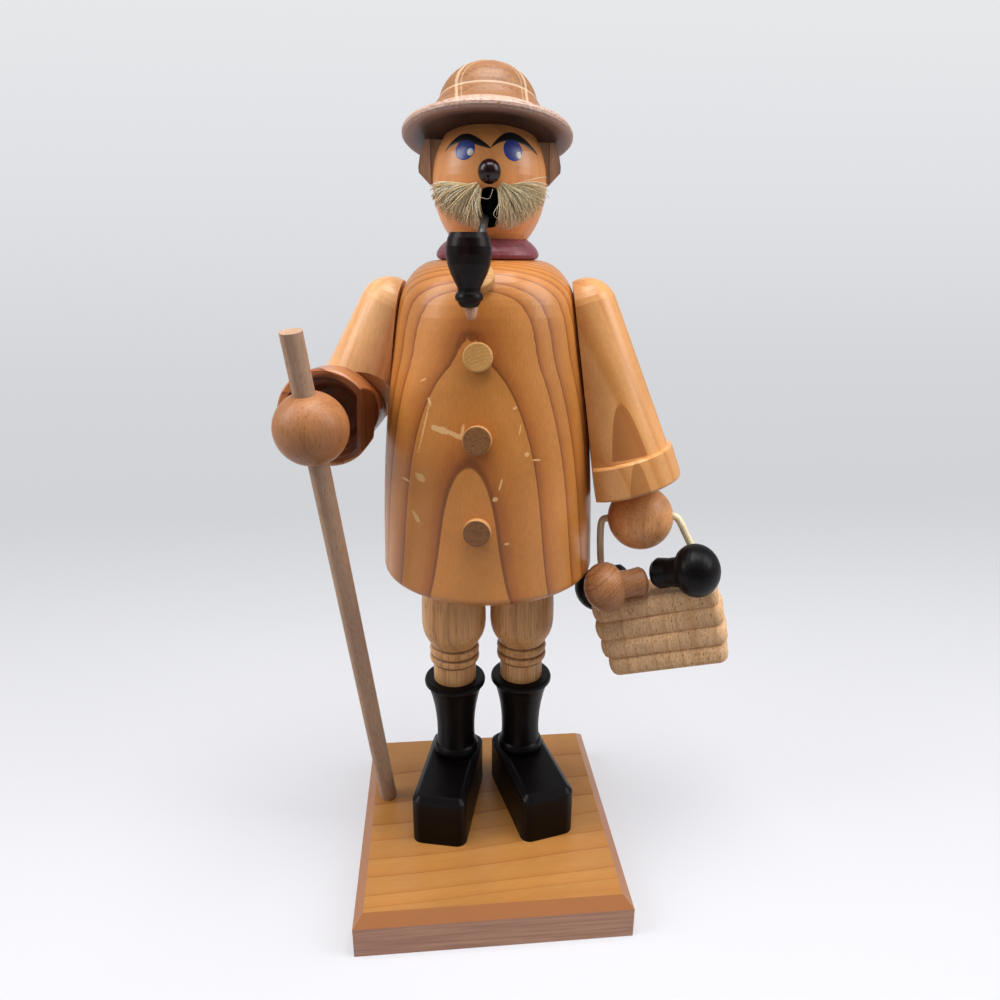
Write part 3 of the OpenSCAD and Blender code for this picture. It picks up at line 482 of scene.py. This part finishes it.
def garter_grooves(tree, place, colour):
    """Stain gathered in the three grooves below the knees: full within 0.2 mm of a groove's
    height, and gone at 0.75 mm."""
    parts = add(tree, "SeparateXYZ", {"Vector": place})
    for height in (79.7, 83.4, 87.4):
        level = add(tree, "Math", {0: parts.outputs["Z"], 1: height * MM}, operation="SUBTRACT")
        level = add(tree, "Math", {0: level}, operation="ABSOLUTE")
        groove = add(
            tree, "MapRange", {"Value": level, "From Min": 0.75 * MM, "From Max": 0.2 * MM, "To Max": 0.7},
        )
        colour = add(tree, "Mix", {"Factor": groove, "A": colour, "B": linear("#4A2A1C")}, data_type="RGBA")
    return colour


# Oak, left open: straight upright streaks of coarse pores on the breeches
oak_breeches = timber(
    "open_pored_oak_breeches", soft_lines("#E8AE72", "#D2945C"), pith=(-300, 400, 90), ring=7.0,
    wander=(0.8, 25), fibre=0.3, fibre_mm=(0.55, 30), mottle=0.08, pores=0.6,
    pore_mm=(0.4, 9), pore_colour="#8A5E3C", roughness=0.5, varnish=0.15, varnish_roughness=0.3,
    grain_depth=0.04, finish=garter_grooves,
)
# Board: alder planed along its length, its sawn edges a pinker brown than its lacquered top
alder_board = timber(
    "lacquered_alder_board", lines("#AE783D", "#AB7338", "#A56C33", "#93592B"), pith=(0, 60, -55),
    lean=(0, 90, 3), ring=6.5, wander=(7.0, 55), fibre=0.08, fibre_mm=(0.5, 7), mottle=0.08,
    roughness=0.4, varnish=0.35, varnish_roughness=0.22, grain_depth=0.015, finish=sawn_edges,
)
# Birch, left raw: an even pale brown for what hides inside
birch_disc = timber(
    "plain_birch_disc", soft_lines("#C99A66", "#BB8852"), pith=(20, 60, 120), ring=3.0,
    wander=(1, 25), fibre=0.15, mottle=0.08, roughness=0.55,
)
# A beech dowel gone grey with handling: dull, with fine short flecks
beech_stick = timber(
    "grey_beech_dowel", soft_lines("#B8967C", "#AF8C72"), pith=(-260, 130, 100), lean=(10.1, -5.0, 0),
    ring=5.0,
    wander=(0.6, 30), fibre=0.16, fibre_mm=(0.4, 4), mottle=0.1, pores=0.5, pore_mm=(0.3, 1.5),
    pore_colour="#7C6050", roughness=0.6, grain_depth=0.03,
)
# Basket: beech turned across its grain, so the flecks stand upright over the ridges
beech_basket = timber(
    "raw_beech_basket", soft_lines("#F0C292", "#E2AE7A"), pith=(-190, 240, 60), lean=(0, -14, 0), ring=5.0,
    wander=(1.6, 20), fibre=0.24, fibre_mm=(0.55, 5), mottle=0.12, pores=0.75, pore_mm=(0.32, 1.5),
    pore_colour="#9A6A42", roughness=0.62, grain_depth=0.04,
)
# Slices of oak dowel, their sawn faces to the front: full of open pores, gold or smoked brown
oak_button = timber(
    "oak_dowel_button", soft_lines("#EFAC58", "#BE7C34"), pith=(1.5, 0, 190), lean=(90, 30, 0),
    ring=1.1, wander=(0.3, 8), fibre=0.3, fibre_mm=(0.4, 0.6), mottle=0.1, roughness=0.55, varnish=0.15,
    varnish_roughness=0.3, grain_depth=0.06, finish=end_grain("#C8985C", "#9A6A38", "#CC9860"),
)
brown_button = timber(
    "smoked_oak_dowel_button", soft_lines("#7E4F2C", "#432613"), pith=(1.5, 0, 190),
    lean=(90, 30, 0), ring=1.0, wander=(0.3, 8), fibre=0.55, fibre_mm=(0.4, 0.7), mottle=0.2,
    roughness=0.55, varnish=0.15, varnish_roughness=0.3, grain_depth=0.08,
    finish=end_grain("#8F5F36", "#3A2010", "#C08C58"),
)
# Softwood stained brown, dull: its dark winter lines give the eye strands of hair
walnut_hair = timber(
    "stained_hair", lines("#C9A488", "#B28C70", "#94705A", "#624838"), pith=(0, 60, 250), ring=1.7,
    wander=(0.6, 18), fibre=0.3, fibre_mm=(0.5, 8), mottle=0.1, roughness=0.55, varnish=0.1,
    varnish_roughness=0.3, grain_depth=0.04,
)
# Turned cherry under a thin varnish: warm brown, with the rings across its cap
brown_cap = timber(
    "cherry_mushroom", soft_lines("#B47B4E", "#97603A"), pith=(36, 10, 60), lean=(35, 40, 0), ring=1.7,
    wander=(0.8, 12), fibre=0.3, fibre_mm=(0.5, 7), mottle=0.1, pores=0.35, pore_mm=(0.4, 3),
    pore_colour="#6A4024", roughness=0.5, varnish=0.15, varnish_roughness=0.3, grain_depth=0.03,
)


def stained(name, dark, grain, roughness, varnish, pith, lean=(0, 0, 0)):
    """Wood stained nearly black: the grain only shows as a slightly warmer streak."""
    return timber(
        name, soft_lines(dark, grain), pith=pith, lean=lean, ring=1.6, wander=(0.8, 18), fibre=0.45,
        fibre_mm=(0.5, 9), mottle=0.25, roughness=roughness, varnish=varnish, varnish_roughness=0.22,
        grain_depth=0.04, gloss=0.1,
    )


# Stained turned wood with hardly any varnish: boots and mushrooms flat black, the pipe a red
# black, and the nose lacquered
black_boots = stained("black_stained_boot", "#060304", "#0C0607", 0.4, 0.07, (10, 60, 40))
dark_pipe = stained("mahogany_stained_pipe", "#0E0504", "#1E0C0C", 0.36, 0.07, (30, 20, 230))
dark_nose = stained("mahogany_stained_nose", "#220B0E", "#301216", 0.2, 0.45, (30, 20, 257))
dark_mushroom = stained(
    "charcoal_stained_mushroom", "#060304", "#0E0809", 0.42, 0.06, (40, 60, 120), (20, 50, 0),
)
# Burgundy stain, satin: the fibres show through it
red_collar = timber(
    "burgundy_stained_collar", soft_lines("#8C4650", "#7A3842"), pith=(30, 60, 235), ring=2.4,
    wander=(0.8, 20), fibre=0.25, fibre_mm=(0.5, 5), mottle=0.15, roughness=0.5, varnish=0.3,
    varnish_roughness=0.3, grain_depth=0.02,
)


def brushed_hat_with_painted_shade(tree, place, colour):
    """The hat's stain was rubbed back on its lip and left pale along a turned line and two arches
    over the crown: an arch is where (x/a)^2 + (max(z-b, 0)/c)^2 = 1 in the hat's own frame. Under
    the brim the colour is painted shade, darkest next to the head."""
    own = add(
        tree, "Mapping",
        {
            "Vector": place, "Location": (FIGURE_X * MM, FIGURE_Y * MM, 268.4 * MM),
            "Rotation": (math.radians(-12.3), math.radians(2.2), 0),
        },
        vector_type="TEXTURE",
    )
    speck = add(tree, "VectorMath", {0: own, 1: (900, 900, 2600)}, operation="MULTIPLY")
    flecks = add(tree, "TexNoise", {"Vector": speck, "Scale": 1.0, "Detail": 3.0, "Roughness": 0.7})
    dark = add(tree, "MapRange", {"Value": flecks, "From Min": 0.42, "From Max": 0.62, "To Max": 0.55})
    colour = add(tree, "Mix", {"Factor": dark, "A": colour, "B": linear("#5F3520")}, data_type="RGBA")
    parts = add(tree, "SeparateXYZ", {"Vector": own})
    wobble = add(tree, "Math", {0: flecks, 1: 0.09, 2: -0.045}, operation="MULTIPLY_ADD")
    for half, rise, wide, share in ((10.6, 10.4, 0.035, 0.6), (9.2, 8.6, 0.02, 0.35)):
        plane = add(tree, "VectorMath", {0: own, 1: (0, 0, 12 * MM)}, operation="SUBTRACT")
        above = add(tree, "VectorMath", {0: plane, 1: (-1, -1, 0)}, operation="MAXIMUM")
        shape = add(
            tree, "VectorMath", {0: above, 1: (1 / (half * MM), 0, 1 / (rise * MM))}, operation="MULTIPLY",
        )
        reach = add(tree, "VectorMath", {0: shape}, operation="LENGTH").outputs["Value"]
        away = add(tree, "Math", {0: reach, 1: wobble}, operation="ADD")
        off = add(tree, "Math", {0: away, 1: 1.0}, operation="SUBTRACT")
        near = add(tree, "Math", {0: off}, operation="ABSOLUTE")
        strip = add(
            tree, "MapRange",
            {"Value": near, "From Min": wide * 1.6, "From Max": wide * 0.6, "To Max": share},
        )
        colour = add(tree, "Mix", {"Factor": strip, "A": colour, "B": linear("#DCC3A2")}, data_type="RGBA")
    level = add(tree, "Math", {0: parts.outputs["Z"], 1: 11.8 * MM}, operation="SUBTRACT")
    level = add(tree, "Math", {0: level}, operation="ABSOLUTE")
    ring = add(
        tree, "MapRange", {"Value": level, "From Min": 0.42 * MM, "From Max": 0.15 * MM, "To Max": 0.6},
    )
    colour = add(tree, "Mix", {"Factor": ring, "A": colour, "B": linear("#E2C7A6")}, data_type="RGBA")
    flat = add(tree, "VectorMath", {0: own, 1: (1, 1, 0)}, operation="MULTIPLY")
    out = add(tree, "VectorMath", {0: flat}, operation="LENGTH").outputs["Value"]
    brim = add(tree, "MapRange", {"Value": out, "From Min": 18.5 * MM, "From Max": 20.5 * MM})
    worn = add(tree, "Math", {0: flecks, 1: brim}, operation="MULTIPLY")
    lip = add(tree, "MapRange", {"Value": worn, "From Min": 0.34, "From Max": 0.52, "To Max": 0.85})
    colour = add(tree, "Mix", {"Factor": lip, "A": colour, "B": linear("#CFB0A2")}, data_type="RGBA")
    # Painted shade: faces that look down, under the brim, are coloured dark brown next to the head and paler
    # out towards the lip
    under = seen_from(tree, (0, 0, -1), 0.35, 0.75)
    depth = add(tree, "MapRange", {"Value": out, "From Min": 21.5 * MM, "From Max": 27 * MM})
    painted_underside_shade = add(
        tree, "Mix", {"Factor": depth, "A": linear("#2C1610"), "B": linear("#B08C7E")}, data_type="RGBA",
    )
    return add(tree, "Mix", {"Factor": under, "A": colour, "B": painted_underside_shade}, data_type="RGBA")


# Brown stain brushed on and rubbed back: dark specks in the pores, pale where it is worn, and painted shade
# under the brim
stained_hat = timber(
    "brushed_stained_hat_painted_shade", soft_lines("#A06C3C", "#8E5C30"), pith=(2, 50, 268), lean=(-12, 2, 0),
    ring=3.0, wander=(0.8, 18), fibre=0.15, fibre_mm=(0.5, 5), mottle=0.1, roughness=0.5, varnish=0.25,
    varnish_roughness=0.3, grain_depth=0.02, finish=brushed_hat_with_painted_shade,
)


def pressed_tin():
    """Tin plate, pressed and dulled by smoke: broad satin reflections with a soot-brown bloom."""
    material, tree = new_material("pressed_tin_dish")
    place = add(tree, "TexCoord").outputs["Object"]
    soot = add(tree, "TexNoise", {"Vector": place, "Scale": 160.0, "Detail": 4.0, "Roughness": 0.6})
    colour = add(
        tree, "ValToRGB", {"Fac": soot}, stops=[(0.35, "#7A6E60"), (0.55, "#B4B2AC"), (1.0, "#C9C8C4")],
    )
    rough = add(tree, "MapRange", {"Value": soot, "To Min": 0.55, "To Max": 0.28})
    shader = add(tree, "BsdfPrincipled", {"Base Color": colour, "Metallic": 1.0, "Roughness": rough})
    add(tree, "OutputMaterial", {"Surface": shader})
    return material


def peeled_cane(name, tones, bit=None):
    """Peeled rattan cane: smooth, with faint long fibres in three near tones. A stem is black from
    the height bit up: painted shade where it runs into the dark mouth."""
    material, tree = new_material(name)
    place = add(tree, "TexCoord").outputs["Object"]
    run = add(tree, "VectorMath", {0: place, 1: (1600, 1600, 160)}, operation="MULTIPLY")
    fibres = add(tree, "TexNoise", {"Vector": run, "Scale": 1.0, "Detail": 3.0, "Roughness": 0.6})
    cloud = add(tree, "TexNoise", {"Vector": place, "Scale": 90.0, "Detail": 2.0})
    colour = add(tree, "ValToRGB", {"Fac": fibres}, stops=list(zip((0.25, 0.5, 0.8), tones)))
    tone = add(
        tree, "MapRange",
        {"Value": cloud, "From Min": 0.3, "From Max": 0.7, "To Min": 0.88, "To Max": 1.08},
    )
    colour = add(tree, "HueSaturation", {"Color": colour, "Value": tone})
    if bit is not None:
        height = add(tree, "SeparateXYZ", {"Vector": place}).outputs["Z"]
        painted_shade_on_stem = add(
            tree, "MapRange", {"Value": height, "From Min": (bit - 0.5) * MM, "From Max": (bit + 0.5) * MM},
        )
        colour = add(tree, "Mix", {"Factor": painted_shade_on_stem, "A": colour, "B": linear("#0B0606")}, data_type="RGBA")
    bump = add(tree, "Bump", {"Height": fibres, "Strength": 0.5, "Distance": 0.03 * MM})
    shader = add(
        tree, "BsdfPrincipled",
        {"Base Color": colour, "Roughness": 0.42, "Normal": bump, "Coat Weight": 0.2, "Coat Roughness": 0.3},
    )
    add(tree, "OutputMaterial", {"Surface": shader})
    return material


def straw_bristle():
    """Bleached sisal bristle: pale straw, each strand a shade of its own, duller at the root."""
    material, tree = new_material("bleached_sisal_bristle")
    tone = add(tree, "Attribute", attribute_name="tone")
    place = add(tree, "TexCoord").outputs["Object"]
    grit = add(tree, "TexNoise", {"Vector": place, "Scale": 1500.0, "Detail": 2.0})
    mixed = add(tree, "Math", {0: grit, 1: 0.25, 2: tone.outputs["Fac"]}, operation="MULTIPLY_ADD")
    colour = add(
        tree, "ValToRGB", {"Fac": mixed},
        stops=[(0.15, "#B08654"), (0.4, "#E6C48C"), (0.7, "#F6DFAE"), (1.0, "#FDF1D2")],
    )
    shader = add(
        tree, "BsdfPrincipled",
        {"Base Color": colour, "Roughness": 0.6, "Sheen Weight": 0.25, "Sheen Roughness": 0.4},
    )
    add(tree, "OutputMaterial", {"Surface": shader})
    return material


def brushed_paint(name, code, roughness=0.35):
    """Hand-brushed enamel on wood: one colour with faint brush streaks and a soft gloss."""
    material, tree = new_material(name)
    place = add(tree, "TexCoord").outputs["Object"]
    run = add(tree, "VectorMath", {0: place, 1: (500, 500, 2400)}, operation="MULTIPLY")
    strokes = add(tree, "TexNoise", {"Vector": run, "Scale": 1.0, "Detail": 3.0})
    tone = add(
        tree, "MapRange",
        {"Value": strokes, "From Min": 0.3, "From Max": 0.7, "To Min": 0.8, "To Max": 1.15},
    )
    colour = add(tree, "HueSaturation", {"Color": linear(code), "Value": tone})
    bump = add(tree, "Bump", {"Height": strokes, "Strength": 0.4, "Distance": 0.02 * MM})
    shader = add(
        tree, "BsdfPrincipled",
        {
            "Base Color": colour, "Roughness": roughness, "Normal": bump, "Coat Weight": 0.3,
            "Coat Roughness": 0.2,
        },
    )
    add(tree, "OutputMaterial", {"Surface": shader})
    return material


tin = pressed_tin()
cane = peeled_cane("peeled_cane", ("#F2DAA4", "#FBE9BE", "#FFF3D4"))
# The stem's black from 224 mm up is painted shade inside the mouth
reed = peeled_cane("varnished_reed_stem", ("#A5714F", "#C08B68", "#D0A283"), bit=224)
bristle = straw_bristle()
blue_paint = brushed_paint("royal_blue_enamel", "#2B3F96")
black_paint = brushed_paint("black_enamel", "#0C0A0C")
white_paint = brushed_paint("cream_white_enamel", "#E9E6DF")

finishes = {
    alder_coat: ["coat"],
    alder_left_sleeve: ["left_sleeve"],
    alder_right_sleeve: ["right_sleeve"],
    alder_forearm: ["right_forearm"],
    lime_head: ["head"],
    right_hand_painted_shade_beech: ["right_hand"],
    left_hand_painted_light_beech: ["left_hand"],
    oak_breeches: ["left_leg", "right_leg"],
    alder_board: ["base_board"],
    birch_disc: [
        "hip_disc", "neck_tube", "left_hand_pin", "right_hand_pin", "left_shoulder_pin",
        "right_shoulder_pin",
    ],
    beech_stick: ["walking_stick"],
    beech_basket: ["basket"],
    oak_button: ["neck_button", "top_button"],
    brown_button: ["middle_button", "bottom_button"],
    walnut_hair: ["hair"],
    brown_cap: ["brown_mushroom"],
    dark_mushroom: ["dark_mushroom", "rear_mushroom"],
    black_boots: ["left_boot", "right_boot", "left_foot", "right_foot"],
    dark_pipe: ["pipe_bowl"],
    dark_nose: ["nose"],
    red_collar: ["collar"],
    stained_hat: ["hat"],
    tin: ["incense_dish"],
    cane: ["basket_handle"],
    reed: ["pipe_stem"],
    bristle: ["left_moustache", "right_moustache"],
}
for finish, names in finishes.items():
    for node in names:
        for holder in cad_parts[node].material_slots:
            holder.material = finish

# Face: paint films and bristles on the egg-shaped head


def head_at(z):
    """The head's radius at height z: r * sqrt(1 - ((z - middle) / half height)^2)."""
    return HEAD_R * np.sqrt(np.clip(1 - ((z - HEAD_MID) / HEAD_UP) ** 2, 0, 1))


def on_face(turn, z, lift):
    """The point at azimuth turn, in degrees from straight ahead towards +X, at height z, lifted
    off the head by lift: the axis plus (radius + lift) times (sin, -cos) of the azimuth."""
    a = np.radians(turn)
    r = head_at(z) + lift
    return np.stack([HEAD_X + r * np.sin(a), HEAD_Y - r * np.cos(a), z], axis=-1)


def paint_spot(name, material, turn, z, half_turn, half_z, thick, under=-0.15, egg=0.0):
    """An oval film of paint: rings of radius q round its middle, at turn + half_turn q cos t and
    z + half_z q sin t, lifted by thick * (1 - q^6), closed behind by its own lowered copy."""
    q = np.concatenate([np.linspace(0.08, 0.9, 9), [0.96, 1.0]])[:, None]
    t = np.linspace(0, 2 * np.pi, 49)[:-1][None, :]
    wide = half_turn * (1 + egg * np.sin(t))
    x = turn + wide * q * np.cos(t)
    y = z + half_z * q * np.sin(t)
    front = on_face(x, y, thick * (1 - q**6) + 0.02)
    back = on_face(turn + wide * np.cos(t), y[-1:] * np.ones_like(t), under)
    points = np.concatenate(
        [
            front.reshape(-1, 3), back.reshape(-1, 3), on_face(np.array([turn]), np.array([z]), thick),
            on_face(np.array([turn]), np.array([z]), under),
        ],
    )
    rows, n = len(q) + 1, t.shape[1]
    faces = closed_grid(rows, n).tolist()
    middle, rear = rows * n, rows * n + 1
    faces += [[middle, (j + 1) % n, j] for j in range(n)]
    last = (rows - 1) * n
    faces += [[rear, last + j, last + (j + 1) % n] for j in range(n)]
    return piece(name, "figure", material, points, [f[::-1] for f in faces])


def brow(name, ends, top, width):
    """A painted brow. Its middle line is the straight line between its ends plus an arch
    sin(pi s^k), whose peak lies at the top point, and its half width is
    width * (0.06 + 0.94 sin(pi s)^0.7). It is lifted off the head like a brush stroke and closed
    behind."""
    s = np.linspace(0, 1, 41)[:, None]
    (x0, z0), (x1, z1) = ends
    p = (top[0] - x0) / (x1 - x0)
    x = x0 + (x1 - x0) * s
    # s^k is a half at the top's share p, so the arch peaks there
    power = math.log(0.5) / math.log(p)
    bump = np.sin(np.pi * s**power)
    z = z0 + (z1 - z0) * s + bump * (top[1] - (z0 + (z1 - z0) * p))
    half = width * (0.06 + 0.94 * np.sin(np.pi * s) ** 0.7)
    c = np.linspace(0, 2 * np.pi, 13)[:-1][None, :]
    points = on_face(
        x + 0 * c, z + half * np.cos(c), np.where(np.sin(c) > 0, 0.09 * np.sin(c), 0.15 * np.sin(c)) + 0.02,
    )
    faces = closed_grid(len(s), c.shape[1]).tolist()
    n = c.shape[1]
    faces.append([(len(s) - 1) * n + j for j in range(n)])
    faces.append([j for j in range(n)][::-1])
    return piece(name, "figure", black_paint, points.reshape(-1, 3), faces)


paint_spot("right_eye", blue_paint, -30.2, 264.6, 10.9, 3.15, 0.1)
paint_spot("left_eye", blue_paint, 20.3, 264.4, 10.4, 3.2, 0.1)
paint_spot("right_eye_light", white_paint, -23.9, 263.7, 3.5, 1.15, 0.2)
paint_spot("left_eye_light", white_paint, 25.6, 263.0, 3.5, 1.15, 0.2)
brow("right_brow", ((-56.8, 264.5), (-3.1, 264.7)), (-34.1, 267.8), 1.3)
brow("left_brow", ((-3.1, 264.7), (54.6, 263.9)), (21.6, 268.2), 1.3)


def strands(roots, steps, thick, tips):
    """Thin three-sided strands. roots holds each strand's centreline as (strand, step, xyz);
    a section is a triangle of radius thick * (1 - t) + tips * t square to the strand."""
    n, m = roots.shape[:2]
    ahead = np.gradient(roots, axis=1)
    ahead /= np.linalg.norm(ahead, axis=2, keepdims=True) + 1e-12
    side = np.cross(ahead, np.array([0.31, 0.12, 0.94]))
    side /= np.linalg.norm(side, axis=2, keepdims=True) + 1e-12
    third = np.cross(ahead, side)
    t = steps[None, :, None, None]
    a = (np.arange(3) * 2 * np.pi / 3)[None, None, :, None]
    r = thick * (1 - t) + tips * t
    points = roots[:, :, None, :] + r * (np.cos(a) * side[:, :, None, :] + np.sin(a) * third[:, :, None, :])
    one = closed_grid(m, 3)
    walls = (one[None] + (np.arange(n) * m * 3)[:, None, None]).reshape(-1, 4)
    first = np.arange(n) * m * 3
    root_caps = np.stack([first + 2, first + 1, first], axis=1)
    tip_caps = np.stack([first + (m - 1) * 3, first + (m - 1) * 3 + 1, first + (m - 1) * 3 + 2], axis=1)
    return points.reshape(-1, 3), walls.tolist() + root_caps.tolist() + tip_caps.tolist()


FACE_TURN = math.radians(-4.5)


def moustache(side, count, seed):
    """A fuller fan than the solid's, over the same space: a strand leaves the lip at 2.1 + 3 u
    along it, at angle first + sweep u - droop t, reaches a ragged outline, and stands off the head
    by 0.5 + 1.5 v (0.8 + 0.7 t) + 2.4 t (1 - 0.62 t), with a wave and a stray bend of its own."""
    rng = np.random.default_rng(seed)
    u = rng.random(count)[:, None]
    v = rng.random(count)[:, None]
    t = np.linspace(0, 1, 9)[None, :]
    lock = np.sin(2 * np.pi * (u * 6.5 + 0.3 * v))
    stray = rng.normal(0, 6.5, u.shape)
    angle = np.radians(9 + 90 * u - 16 * u * t**2 + (lock * 5 + stray) * t)
    far = (12.2 + 2.3 * np.sin(np.radians(120 * u)) + 0.9 * lock) * (1 - 0.3 * rng.random(u.shape) ** 2)
    reach = 0.6 + (far - 0.6) * t
    wave = 0.3 * np.sin(2 * np.pi * (t * rng.uniform(0.5, 1.3, u.shape) + rng.random(u.shape))) * t
    along = 2.1 + 3.0 * u * (1 - 0.5 * v) + reach * np.sin(angle) + wave * np.cos(angle)
    z = 254.0 + 1.2 * np.sin(np.pi * u) - reach * np.cos(angle) + wave * np.sin(angle)
    off = head_at(z) + 0.5 + 1.5 * v * (0.8 + 0.7 * t) + 2.4 * t * (1 - 0.62 * t)
    off = off + rng.normal(0, 0.3, u.shape) * t
    azimuth = side * along / 18.2
    x, y = off * np.sin(azimuth), -off * np.cos(azimuth)
    c, s = math.cos(FACE_TURN), math.sin(FACE_TURN)
    centre = np.stack([HEAD_X + c * x - s * y, HEAD_Y + s * x + c * y, z], axis=-1)
    points, faces = strands(centre, t[0], 0.19, 0.1)
    tone = np.clip(0.52 + 0.22 * rng.normal(0, 1, (count, 1)) + 0.3 * (t - 0.45) + 0.25 * (v - 0.5), 0, 1)
    tones = np.repeat(tone.reshape(-1), 3)
    name, node = ("left_bristles", "left_moustache") if side > 0 else ("right_bristles", "right_moustache")
    return piece(name, "figure", bristle, points, faces, tones, [node])


moustache(1, 560, 11)
moustache(-1, 560, 12)


def stray_hairs():
    """Three loose bristles over the mouth: each a smooth curve (Catmull-Rom) through its points."""
    runs = np.array(
        [
            [[-3.4, -6.4, 252.9], [-1.7, -7.6, 250.8], [0.9, -8.0, 250.35], [2.1, -7.6, 253.0]],
            [[4.9, -6.4, 249.4], [3.76, -7.6, 248.6], [2.3, -8.0, 245.9], [3.77, -7.6, 244.6]],
            [[-3.6, -6.6, 251.5], [-2.9, -8.2, 247.0], [-2.2, -8.4, 243.5], [-1.6, -7.9, 240.6]],
        ]
    )
    ends = np.concatenate([2 * runs[:, :1] - runs[:, 1:2], runs, 2 * runs[:, -1:] - runs[:, -2:-1]], axis=1)
    place = np.linspace(0, 2.999, 16)
    k, t = place.astype(int), (place % 1)[None, :, None]
    a, b, c, d = ends[:, k], ends[:, k + 1], ends[:, k + 2], ends[:, k + 3]
    curve = 0.5 * (2 * b + (c - a) * t + (2 * a - 5 * b + 4 * c - d) * t**2 + (3 * b - a - 3 * c + d) * t**3)
    points, faces = strands(curve, np.linspace(0, 1, 16), 0.09, 0.06)
    return piece("stray_hairs", "figure", bristle, points, faces, np.full(len(points), 0.85))


stray_hairs()

# Stage, light and camera


def backdrop():
    """A seamless sweep: flat floor, a quarter turn of radius 300 mm, then an upright wall."""
    turn = np.linspace(0, math.pi / 2, 25)
    y = np.concatenate([[-1500], 420 + 300 * np.sin(turn), [720]])
    z = np.concatenate([[0], 300 * (1 - np.cos(turn)), [1800]])
    x = np.array([-1800.0, 1800.0])
    points = np.stack(
        [np.repeat(x[None], len(y), 0), np.repeat(y[:, None], 2, 1), np.repeat(z[:, None], 2, 1)], -1,
    )
    mesh = bpy.data.meshes.new("floor")
    mesh.from_pydata((points.reshape(-1, 3) * MM).tolist(), [], closed_grid(len(y), 2, False).tolist())
    mesh.polygons.foreach_set("use_smooth", np.ones(len(mesh.polygons), bool))
    floor = bpy.data.objects.new("floor", mesh)
    bpy.context.scene.collection.objects.link(floor)
    material, tree = new_material("matt_white_card")
    place = add(tree, "TexCoord").outputs["Object"]
    parts = add(tree, "SeparateXYZ", {"Vector": place})
    # The card's colour holds painted shade: bright on the floor, greyer where it turns up, and brighter again
    # at the top
    back = add(tree, "MapRange", {"Value": parts.outputs["Y"], "From Min": 0.0, "From Max": 0.42})
    wall = add(
        tree, "ValToRGB", {"Fac": parts.outputs["Z"]},
        stops=[(0.0, "#D2D3D6"), (0.1, "#D5D6D9"), (0.3, "#DFE1E5"), (0.5, "#E6E8EA")],
    )
    card_with_painted_shade = add(tree, "Mix", {"Factor": back, "A": linear("#E2E2E6"), "B": wall}, data_type="RGBA")
    # It is shown as pale as it is, and throws back less light than it would
    rays = add(tree, "LightPath")
    shown = add(
        tree, "Math", {0: rays.outputs["Is Camera Ray"], 1: rays.outputs["Is Glossy Ray"]},
        operation="MAXIMUM",
    )
    shown = add(tree, "Math", {0: shown, 1: rays.outputs["Is Transmission Ray"]}, operation="MAXIMUM")
    paper = add(tree, "Mix", {"Factor": shown, "A": linear("#8E8E90"), "B": card_with_painted_shade}, data_type="RGBA")
    shader = add(tree, "BsdfPrincipled", {"Base Color": paper, "Roughness": 0.9, "Specular IOR Level": 0.1})
    glow = add(tree, "Emission", {"Color": card_with_painted_shade, "Strength": 1.0})
    far = add(
        tree, "MapRange",
        {"Value": parts.outputs["Y"], "From Min": 0.05, "From Max": 0.4, "To Min": 0.5, "To Max": 1.0},
    )
    share = add(tree, "Math", {0: rays.outputs["Is Camera Ray"], 1: far}, operation="MULTIPLY")
    both = add(tree, "MixShader", {0: share, 1: shader, 2: glow})
    add(tree, "OutputMaterial", {"Surface": both})
    mesh.materials.append(material)
    return floor


def softbox(name, place, aim, size, power):
    """A rectangular soft light of size, in mm, at place and facing aim."""
    lamp = bpy.data.lights.new(name, "AREA")
    lamp.shape = "RECTANGLE"
    lamp.size, lamp.size_y = size[0] * MM, size[1] * MM
    lamp.energy = power
    made = bpy.data.objects.new(name, lamp)
    made.location = Vector(place) * MM
    made.rotation_euler = (Vector(place) - Vector(aim)).to_track_quat("Z", "Y").to_euler()
    bpy.context.scene.collection.objects.link(made)
    return made


backdrop()
softbox("left_window", (-800, -120, 760), (0, 0, 200), (500, 700), 6.2)
softbox("right_window", (800, -220, 760), (0, 0, 200), (500, 700), 6.0)
softbox("top_panel", (30, -90, 780), (0, 10, 200), (420, 360), 4.2)

world = bpy.data.worlds.new("light_tent")
bpy.context.scene.world = world
world.use_nodes = True
tent = world.node_tree
tent.nodes.clear()
# The tent is white all round but open in front, where the room behind the camera is darker
looks = add(tent, "SeparateXYZ", {"Vector": add(tent, "TexCoord").outputs["Generated"]})
strength = add(
    tent, "MapRange",
    {"Value": looks.outputs["Y"], "From Min": -0.9, "From Max": 0.1, "To Min": 0.12, "To Max": 0.58},
)
sky = add(tent, "Background", {"Color": linear("#F6F7FA"), "Strength": strength})
add(tent, "OutputWorld", {"Surface": sky})

# The camera stands 0.24 m in front of the board's middle, a little to the figure's right, and
# looks down. Its focal length was solved in pixels of a picture 1000 wide.
FOCUS, PICTURE, SENSOR = 721.59, 1000, 36.0
eye = Vector((-16.435, -242.079, 234.788)) * MM
pitch, yaw, roll = 0.32964, 0.08966, 0.00448
ahead = Vector((math.sin(yaw) * math.cos(pitch), math.cos(yaw) * math.cos(pitch), -math.sin(pitch)))
level = Vector((math.cos(yaw), -math.sin(yaw), 0))
upward = level.cross(ahead)
right = math.cos(roll) * level + math.sin(roll) * upward
upright = math.cos(roll) * upward - math.sin(roll) * level
lens = bpy.data.cameras.new("camera")
lens.sensor_width = SENSOR
lens.lens = FOCUS * SENSOR / PICTURE
lens.clip_start, lens.clip_end = 0.01, 20
camera = bpy.data.objects.new("camera", lens)
turned = Matrix((right, upright, -ahead)).transposed().to_4x4()
camera.matrix_world = Matrix.Translation(eye) @ turned
bpy.context.scene.collection.objects.link(camera)
bpy.context.scene.camera = camera
bpy.context.scene.view_settings.view_transform = "Standard"

bpy.context.view_layer.update()
